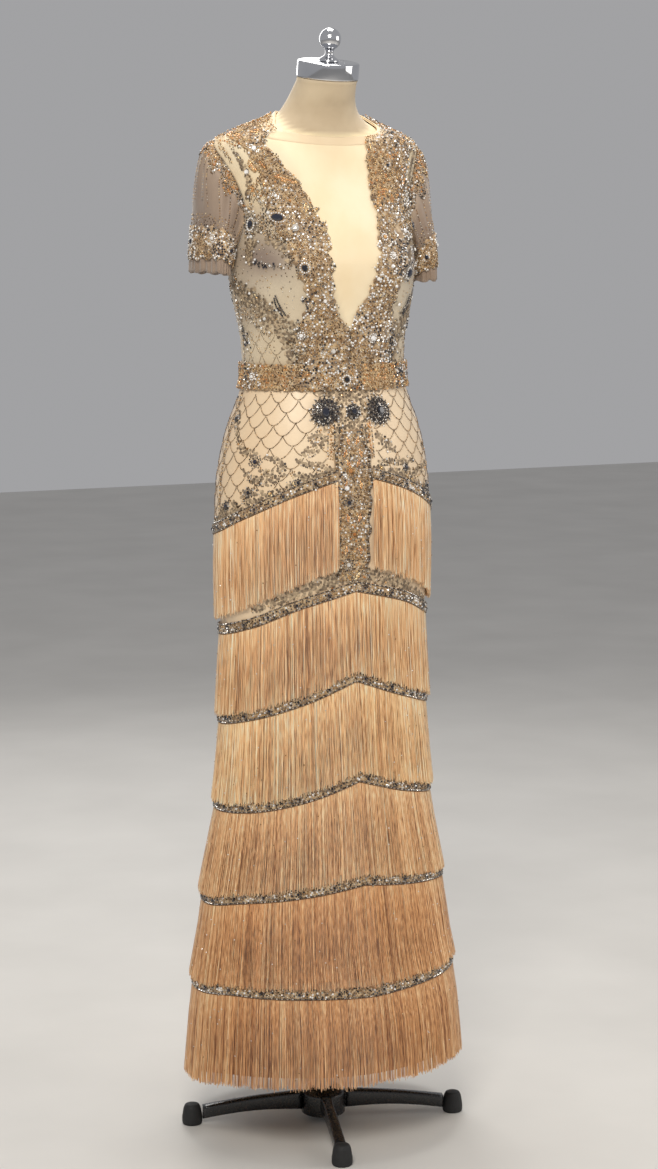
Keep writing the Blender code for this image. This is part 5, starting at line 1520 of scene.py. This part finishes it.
def beadBelt():
    work = BeadWork("beltBeads", onBelt, 0.0, seed=61)
    middle = (beltLook["low"] + beltLook["high"]) / 2
    for turn, height, size, centre in ((-3, 1.1500, 0.0042, "stone"), (-75, middle, 0.0030, "crystal"),
                                       (62, middle, 0.0034, "grey"),
                                       (-120, middle, 0.0034, "grey"), (120, middle, 0.0034, "grey")):
        work.flower(turn, height, size + 0.0065, 8, centreSize=size, centre=centre, inner="crystal", outer="grey")
    for turn in range(-165, 180, 15):
        work.curl(turn, middle + 0.004 * (-1) ** (turn // 15), math.radians(90 * (-1) ** (turn // 15)), 0.0052,
                  (-1) ** (turn // 15), ("gold", "topaz", "gold"))
    for start, end in ((-86, -66), (-34, 8), (40, 52), (-160, -130), (130, 160)):
        work.fill([(turn, middle, 0.0155) for turn in np.linspace(start, end, 8)], glitter, ragged=0.25,
                  patchSize=0.012,
                  density=0.8)
    work.fill([(turn, middle, 0.0178) for turn in np.linspace(-179, 179, 13)],
              {"gold": 3.6, "topaz": 1.3, "bronze": 2.0, "silver": 1.5, "crystal": 0.7, "grey": 0.4}, ragged=0.10,
              lobe=0.008, patchSize=0.03)
    work.finish()


hipBeads = {
    "cellTurn": 14.0, "cellHeight": 0.0165, "top": 1.1485, "slope": 0.00030, "rows": 14, "lift": 0.0006,
    # flowers as turn, height, radius and outer kind
    "flowers": [(-58, 1.032, 0.0120, "grey"), (-31, 1.003, 0.0080, "silver"), (-61, 0.987, 0.0100, "grey"),
                (-80, 0.965, 0.0100, "silver"), (-84, 1.092, 0.0085, "grey"),
                (34, 1.018, 0.0090, "silver"), (60, 0.985, 0.010, "grey"), (82, 0.965, 0.0090, "silver"),
                (84, 1.092, 0.0085, "grey"), (-118, 0.950, 0.0085, "grey"), (118, 0.950, 0.0085, "grey"),
                (-155, 0.945, 0.0085, "silver"), (155, 0.945, 0.0085, "silver")],
    # crescents and sprays as turn, height and half width, with weights
    "sprays": [
        ([(-86, 1.104, 0.0040), (-84, 1.090, 0.0070), (-80, 1.076, 0.0050), (-76, 1.064, 0.0030)], "dark", 0.9),
        ([(-77, 1.066, 0.0022), (-72, 1.052, 0.0055), (-65, 1.045, 0.0055), (-57, 1.044, 0.0030)], "gold", 0.95),
        ([(-66, 1.020, 0.0028), (-60, 1.008, 0.0050), (-50, 1.004, 0.0058), (-42, 1.010, 0.0060),
          (-40, 1.024, 0.0055),
          (-45, 1.036, 0.0045), (-52, 1.041, 0.0028)], "dark", 0.9),
        ([(-54, 1.020, 0.0030), (-48, 1.016, 0.0050), (-45, 1.022, 0.0030)], "gold", 0.9),
        ([(-33, 1.034, 0.0022), (-26, 1.030, 0.0045), (-20, 1.026, 0.0050), (-14, 1.022, 0.0040)], "dark", 0.95),
        ([(-35, 1.016, 0.0030), (-27, 1.010, 0.0065), (-19, 1.008, 0.0075), (-13, 1.012, 0.0060)], "gold", 0.95),
        ([(-29, 1.044, 0.0030), (-24, 1.050, 0.0085), (-20, 1.058, 0.0075), (-17, 1.070, 0.0040)], "dark", 0.95),
        ([(-27, 1.066, 0.0022), (-22, 1.072, 0.0045), (-17, 1.079, 0.0030)], "gold", 0.95),
        ([(27, 1.046, 0.0030), (22, 1.052, 0.0075), (17, 1.062, 0.0065), (15, 1.074, 0.0040)], "dark", 0.95),
        ([(14, 1.028, 0.0040), (22, 1.030, 0.0050), (32, 1.028, 0.0045), (44, 1.030, 0.0030)], "dark", 0.85),
        ([(14, 1.014, 0.0040), (26, 1.012, 0.0060), (38, 1.008, 0.0070), (52, 1.012, 0.0060), (66, 1.020, 0.0040)],
         "gold",
         0.85),
        ([(60, 1.046, 0.0040), (72, 1.040, 0.0060), (84, 1.050, 0.0040)], "gold", 0.8),
        ([(-88, 0.958, 0.0120), (-82, 0.950, 0.0170), (-74, 0.962, 0.0130), (-68, 0.966, 0.0070)], "dark", 0.95),
        ([(74, 0.968, 0.0110), (82, 0.955, 0.0170), (89, 0.958, 0.0120)], "dark", 0.95),
        ([(-66, 0.980, 0.0080), (-58, 0.982, 0.0100), (-50, 0.980, 0.0070)], "dark", 0.8),
    ],
}


def rootHeight(turn, number=1):
    return tierHeight(tiers[number - 1]["roots"], turn)


def beadHips(look):
    work = BeadWork("hipBeads", skirtPoint, look["lift"], seed=71)
    for turn, height, radius, outer in look["flowers"]:
        work.flower(turn, height, radius, 7, centreSize=radius * 0.33, centre="jet", inner="grey", outer=outer)
    beadFront(work)
    for spine, shade, density in look["sprays"]:
        work.fill(spine, darkGlitter if shade == "dark" else goldGlitter, ragged=0.22, lobe=0.009, density=density,
                  stitched=True)
        path = smoothPath(spine)
        edge = ["grey", "silver", "bronze"] if shade == "dark" else ["silver", "gold"]
        work.line(np.stack([path[:, 0], path[:, 1] - path[:, 2] - 0.0012], -1), edge, 0.0012, smooth=False)
    beadFirstBand(work)
    beadLattice(work, look)
    for side in (-1, 1):
        for turn in (88.6, 90.4):
            work.line([(side * turn, height) for height in np.linspace(0.950, 1.132, 24)],
                      ["silver", "gold", "bronze"],
                      0.0013, smooth=False)
    work.finish("lining")


def beadFront(work):
    # the field that joins the belt, the rosettes and the centre panel
    for turn in (-13.5, 9.5):
        for rise in (-1.9, 1.9):
            work.line([(turn + rise, height) for height in np.linspace(1.036, 1.086, 10)], ["silver", "gold", "grey"],
                      0.0013, smooth=False)
        work.fill([(turn, 1.088, 0.0030), (turn + 0.6, 1.062, 0.0036), (turn, 1.034, 0.0030)],
                  {"gold": 3, "topaz": 1.4},
                  ragged=0.05)
    for turn, height, aim in ((-2, 1.040, 90), (-5, 1.052, 120), (1.5, 1.052, 60), (-6, 1.066, 115),
                              (2.5, 1.066, 65)):
        work.leaf(turn, height, math.radians(aim), 0.018, 0.0075, "grey", "petal")
    work.fill([(-24, 1.1335, 0.0035), (-12, 1.1300, 0.0070), (0, 1.1270, 0.0110), (11, 1.1300, 0.0070),
               (22, 1.1335, 0.0035)],
              {"gold": 2.6, "silver": 2.6, "bronze": 2.0, "crystal": 1.2, "topaz": 0.5}, ragged=0.15, stitched=True)
    work.fill([(-9, 1.118, 0.0070), (-8.5, 1.104, 0.0055), (-9, 1.090, 0.0070)], darkGlitter, ragged=0.1,
              stitched=True)
    work.fill([(8, 1.118, 0.0060), (7.5, 1.104, 0.0040), (8, 1.090, 0.0060)], darkGlitter, ragged=0.1, stitched=True)
    work.fill([(-1, 1.094, 0.0200), (-1.5, 1.078, 0.0270), (-2, 1.060, 0.0280), (-2, 1.045, 0.0280)], glitter,
              ragged=0.1,
              stitched=True)


def beadFirstBand(work):
    # the dense border over the first tier, with lobes that climb from it
    low, high = frontGap + 1, 360 - frontGap - 1
    for turn in np.arange(low + 4, high, 12.5):
        here = wrapTurn(turn)
        work.leaf(here, rootHeight(here) + 0.017, math.radians(90 + 30 * math.cos(turn * 0.6)), 0.012, 0.007, "grey",
                  "petal")
    work.fill([(turn, rootHeight(turn) + 0.0185, 0.0068) for turn in np.linspace(low, high, 60)], darkGlitter,
              ragged=0.45,
              lobe=0.022, stitched=True)


def beadLattice(work, look):
    for row in range(look["rows"]):
        for column in range(26):
            start = -182 + look["cellTurn"] * (column + 0.5 * (row % 2))
            x = np.linspace(0, 1, 15)
            turn = start + look["cellTurn"] * x
            base = look["top"] - look["cellHeight"] * row - look["slope"] * np.minimum(np.abs(wrapTurn(turn)), 90)
            height = base - look["cellHeight"] * np.sin(math.pi * x) ** 0.8
            keep = (height > rootHeight(turn) + 0.022) & (height < 1.1340)
            keep = keep & (np.abs(wrapTurn(turn)) > 12) & (turn < 179)
            if keep.sum() > 3:
                work.line(np.stack([turn, height], -1)[keep], "bronze", 0.00095, spacing=0.0022, smooth=False,
                          gap=0.6)
            if keep[0]:
                work.sew("jet", turn[0], height[0], 0.0019, gap=0.4)


panelLook = {"low": 0.857, "high": 1.078, "half": 0.0278, "taper": 0.06, "scallop": 0.0018, "lift": 0.0018,
             "wall": 0.0010, "topSpread": 0.0035}


def panelHalf(height, look):
    share = (height - look["low"]) / (look["high"] - look["low"])
    spread = look["topSpread"] * np.exp(-((share - 0.66) / 0.2) ** 2)
    half = look["half"] * (1 - look["taper"] * (1 - share)) + spread
    half = half + look["scallop"] * (np.cos(share * 38) + 0.6 * np.sin(share * 61))
    return half * np.sqrt(1 - 0.80 * np.clip((share - 0.80) / 0.20, 0, 1) ** 2)


def makePanel(look):
    height, part = np.meshgrid(np.linspace(look["low"], look["high"], 90), np.linspace(-1, 1, 15), indexing="ij")
    turn = np.degrees(panelHalf(height, look) * part / skirtPoint(90, height)[..., 0]) - 1.2
    grid = skirtPoint(turn, height, look["lift"])
    piece = addSheet("centrePanel", grid, finishes["beadedTulle"], look["wall"],
                     replaces=["centre_panel"])
    work = BeadWork("panelBeads", skirtPoint, look["lift"] + 0.0002, seed=81)
    work.sew("crystal", -5, 0.993, 0.0042, gap=0, lift=0.0008)
    work.flower(-4, 0.972, 0.0115, 8, centreSize=0.0034, inner="grey", outer="grey")
    work.flower(-3, 1.018, 0.0105, 8, centreSize=0.0036, centre="topaz", inner="gold", outer="silver")
    work.flower(-1, 0.925, 0.009, 7, centreSize=0.0030, centre="topaz", inner="gold", outer="silver")
    work.flower(-4, 0.880, 0.011, 8, centreSize=0.0036, centre="crystal", inner="silver", outer="grey")
    work.sew("crystal", 5.5, 0.936, 0.0030, gap=0, lift=0.0006)
    for side in (-1, 1):
        for height, aim in ((1.068, 250), (1.050, 290), (1.035, 250), (1.004, 280), (0.956, 260), (0.908, 280),
                            (0.868, 240)):
            work.leaf(side * 3.6 - 1.2, height, sideways(aim, side), 0.017, 0.007, "silver",
                      "amberPetal" if height > 0.9 else "petal")
        for inset in (0.0020, 0.0046):
            rail = [(side * math.degrees((float(panelHalf(height, look)) - inset) / 0.165) - 1.2, height)
                    for height in np.linspace(look["low"] + 0.002, look["high"] - 0.002, 44)]
            work.line(rail, ["silver", "grey", "bronze"], 0.0014)

    def fieldBetween(low, high):
        return [(-1.2, height, float(panelHalf(height, look)) * 0.84) for height in np.linspace(low, high, 9)]

    work.fill(fieldBetween(0.962, look["high"] - 0.003), glitter, ragged=0.05)
    work.fill(fieldBetween(look["low"], 0.962), {"gold": 4, "topaz": 1.0, "bronze": 1.6, "silver": 2.0,
                                                 "crystal": 1.0}, ragged=0.05, density=0.85)
    # the lace that spreads from the panel's foot over the second band
    for side in (-1, 1):
        lace = [(side * 2, 0.866, 0.010), (side * 12, rootHeight(12, 2) + 0.029, 0.010),
                (side * 24, rootHeight(24, 2) + 0.027, 0.0085), (side * 40, rootHeight(40, 2) + 0.024, 0.006),
                (side * 60, rootHeight(60, 2) + 0.021, 0.004)]
        work.fill(lace, {"gold": 3, "silver": 2.4, "bronze": 2, "topaz": 0.5, "crystal": 0.9}, ragged=0.3,
                  stitched=True)
    work.finish()


sideRosette = {"radius": 0.0225, "rise": 0.0060, "spikes": 19, "stone": 0.0056}
rosettes = [
    {"name": "Right", "x": -0.0420, **sideRosette},
    {"name": "Centre", "x": 0.0, "radius": 0.0130, "rise": 0.0045, "spikes": 12, "stone": 0.0042},
    {"name": "Left", "x": 0.0420, **sideRosette},
]
rosetteHeight = 1.1045


def makeRosette(look):
    def turnOf(x):
        return math.degrees(math.asin(x / float(skirtPoint(90, rosetteHeight)[0])))

    middle = turnOf(look["x"])
    flat = BeadWork("", skirtPoint)

    def onDome(turn, height, lift=0.0):
        turn, height = np.asarray(turn, float), np.asarray(height, float)
        east = np.radians(turn - middle) * 0.112
        reach = np.sqrt(east ** 2 + (height - rosetteHeight) ** 2) / look["radius"]
        return skirtPoint(turn, height, 0.0012 + look["rise"] * np.clip(1 - reach ** 2, 0,
                                                                        1) ** 0.8 + np.asarray(lift))

    shares, angles = np.linspace(1, 0.02, 10), np.linspace(0, 2 * math.pi, 76, endpoint=False)
    share, angle = np.meshgrid(shares, angles, indexing="ij")
    reach = look["radius"] * 0.88 * share * (1 + 0.08 * np.cos(look["spikes"] * angle) * share ** 2)
    u, v = flat.offset(middle + 0 * angle, rosetteHeight + 0 * angle, reach * np.cos(angle), reach * np.sin(angle))
    mesh = meshFrom(f"rosette{look['name']}", onDome(u, v), gridFaces(10, 76, True))
    node = f"rosette_{look['name'].lower()}"
    addWall(addPiece(f"rosette{look['name']}", mesh, finishes["darkTulle"], [node]), 0.001)
    work = BeadWork(f"rosetteBeads{look['name']}", onDome, 0.0002, seed=int(91 + look["x"] * 100))
    work.sew("stone", middle, rosetteHeight, look["stone"], stretch=1.2, aim=math.pi / 2, gap=0, lift=0.0006)
    ring = np.linspace(0, 2 * math.pi, int(2 * math.pi * (look["stone"] + 0.0016) / 0.0031), endpoint=False)
    near = work.shape(middle, rosetteHeight, 0, np.stack([np.cos(ring), np.sin(ring)], -1) * (look["stone"] + 0.0018))
    work.sew("grey", near[:, 0], near[:, 1], 0.0014, gap=0.6)
    for spike in range(look["spikes"]):
        aim = 2 * math.pi * spike / look["spikes"]
        reach = np.arange(look["stone"] + 0.0042, look["radius"] * (1.02 + 0.11 * (spike % 2)), 0.0025)
        places = work.shape(middle, rosetteHeight, aim, np.stack([reach, 0 * reach], -1))
        kinds = [("jet", "grey", "silver")[(number + spike) % 3] for number in range(len(reach))]
        kinds[-1] = "crystal" if spike % 2 else "silver"
        work.sew(kinds, places[:, 0], places[:, 1], 0.0014, gap=0.7, stretch=1.1, aim=aim)
    spot = np.stack([work.local.uniform(-1, 1, 300), work.local.uniform(-1, 1, 300)], -1)
    spot = spot[np.linalg.norm(spot, axis=-1) < 0.9] * look["radius"]
    places = work.shape(middle, rosetteHeight, 0, spot)
    work.sew(work.choose(onDome(places[:, 0], places[:, 1]), {"jet": 1.6, "grey": 3, "silver": 3, "crystal": 1.6}),
             places[:, 0], places[:, 1], 0.00115, gap=0.8)
    work.finish()


def beadBand(number):
    def onBand(turn, height, lift=0.0):
        return skirtPoint(turn, height, bandLook["lift"] + 0.0008 + np.asarray(lift))

    work = BeadWork(f"bandBeads{number}", onBand, 0.0, seed=110 + number)
    first, last = (frontGap + 0.6, 360 - frontGap - 0.6) if number == 1 else (0, 359.5)
    turns = np.linspace(first, last, 90)
    middle = bandLook["low"] + bandLook["height"] / 2
    for turn in np.arange(first + 5, last - 3, 17):
        work.flower(turn, rootHeight(turn, number) + middle, 0.0062, 6, centreSize=0.0024, centre="jet", inner="grey")
    for rise in (0.0014, bandLook["height"] - 0.0010):
        work.line([(turn, rootHeight(turn, number) + bandLook["low"] + rise) for turn in np.linspace(first, last,
                                                                                                     240)],
                  ["silver", "jet", "grey"], 0.0013, smooth=False)
    work.fill([(turn, rootHeight(turn, number) + middle, 0.0072) for turn in turns], darkGlitter, ragged=0.14,
              lobe=0.02,
              spacing=0.0025)
    work.finish()


def strewFringe():
    # a few small crystals caught on the fringe
    work = BeadWork("fringeSparkle", skirtPoint, 0.0, seed=131)
    for number, tier in enumerate(tiers, start=1):
        turn, share = work.local.uniform(12, 348, 90), work.local.uniform(0.06, 0.92, 90)
        height = tierHeight(tier["roots"], turn) * (1 - share) + tierHeight(tier["tips"], turn) * share
        lift = fringeLift(share, fringeLook) + fringeLook["depth"] * (0.45 + 0.55 * share)
        work.sew(work.choose(skirtPoint(turn, height), {"crystal": 3, "gold": 2}), turn, height, 0.0010,
                 lift=(lift + 0.0008)[:, None])
    work.finish("fringe")


beadBelt()
beadHips(hipBeads)
strewFringe()
makePanel(panelLook)
for look in rosettes:
    makeRosette(look)
for number in range(1, 7):
    beadBand(number)
print("belt, hips, panel, rosettes and bands beaded")


# camera, floor and light

cameraLook = {"distance": 3.80, "height": 1.38, "turn": -25.0, "pitch": 8.15, "aside": 0.009, "lens": 78.4,
              "sensor": 36}


def makeCamera(look):
    turn = math.radians(look["turn"])
    data = bpy.data.cameras.new("camera")
    data.sensor_width, data.lens = look["sensor"], look["lens"]
    camera = bpy.data.objects.new("camera", data)
    camera.location = (math.sin(turn) * look["distance"] + math.cos(turn) * look["aside"],
                       -math.cos(turn) * look["distance"] + math.sin(turn) * look["aside"], look["height"])
    camera.rotation_euler = (math.radians(90 - look["pitch"]), 0, turn)
    bpy.context.scene.collection.objects.link(camera)
    bpy.context.scene.camera = camera


# each light's place, what it is aimed at, its size, power and colour
lights = {
    "keyLight": ((-1.6, -2.6, 3.0), (0, 0, 1.0), 1.2, 80, (1.0, 0.95, 0.87)),
    "fillLight": ((2.6, -1.6, 1.8), (0, 0, 0.9), 1.6, 21, (1.0, 0.95, 0.88)),
    "topLight": ((0.2, 0.4, 3.4), (0, 0, 1.2), 1.0, 34, (1.0, 0.97, 0.92)),
    "backLight": ((0.6, 2.8, 2.2), (0, 0, 1.0), 1.4, 26, (1.0, 0.98, 0.95)),
}


def addLight(name, place, target, size, power, colour):
    data = bpy.data.lights.new(name, "AREA")
    data.size, data.energy, data.color = size, power, colour
    light = bpy.data.objects.new(name, data)
    light.location = place
    aim = np.array(target) - np.array(place)
    light.rotation_euler = (math.atan2(math.hypot(aim[0], aim[1]), -aim[2]), 0,
                            math.atan2(aim[1], aim[0]) - math.pi / 2)
    bpy.context.scene.collection.objects.link(light)


def makeStage():
    mesh = bpy.data.meshes.new("floor")
    half = 9
    mesh.from_pydata([(-half, -half, 0), (half, -half, 0), (half, half, 0), (-half, half, 0)], [], [(0, 1, 2, 3)])
    floor = bpy.data.objects.new("floor", mesh)
    material, tree, shader = startMaterial("paleFloor", {"Roughness": 0.7})
    tree.links.new(addRamp(tree, addNoise(tree, (3, 3, 3), 4), [(0.3, 206, 204, 200), (0.7, 214, 212, 208)]),
                   shader.inputs["Base Color"])
    mesh.materials.append(material)
    bpy.context.scene.collection.objects.link(floor)
    world = bpy.data.worlds.new("studio")
    world.use_nodes = True
    sky = world.node_tree.nodes["Background"]
    sky.inputs["Color"].default_value = (0.80, 0.80, 0.82, 1)
    sky.inputs["Strength"].default_value = 0.45
    bpy.context.scene.world = world
    for name, look in lights.items():
        addLight(name, *look)


makeCamera(cameraLook)
makeStage()
bpy.context.scene.view_settings.view_transform = "Standard"
print("camera, floor and light set")
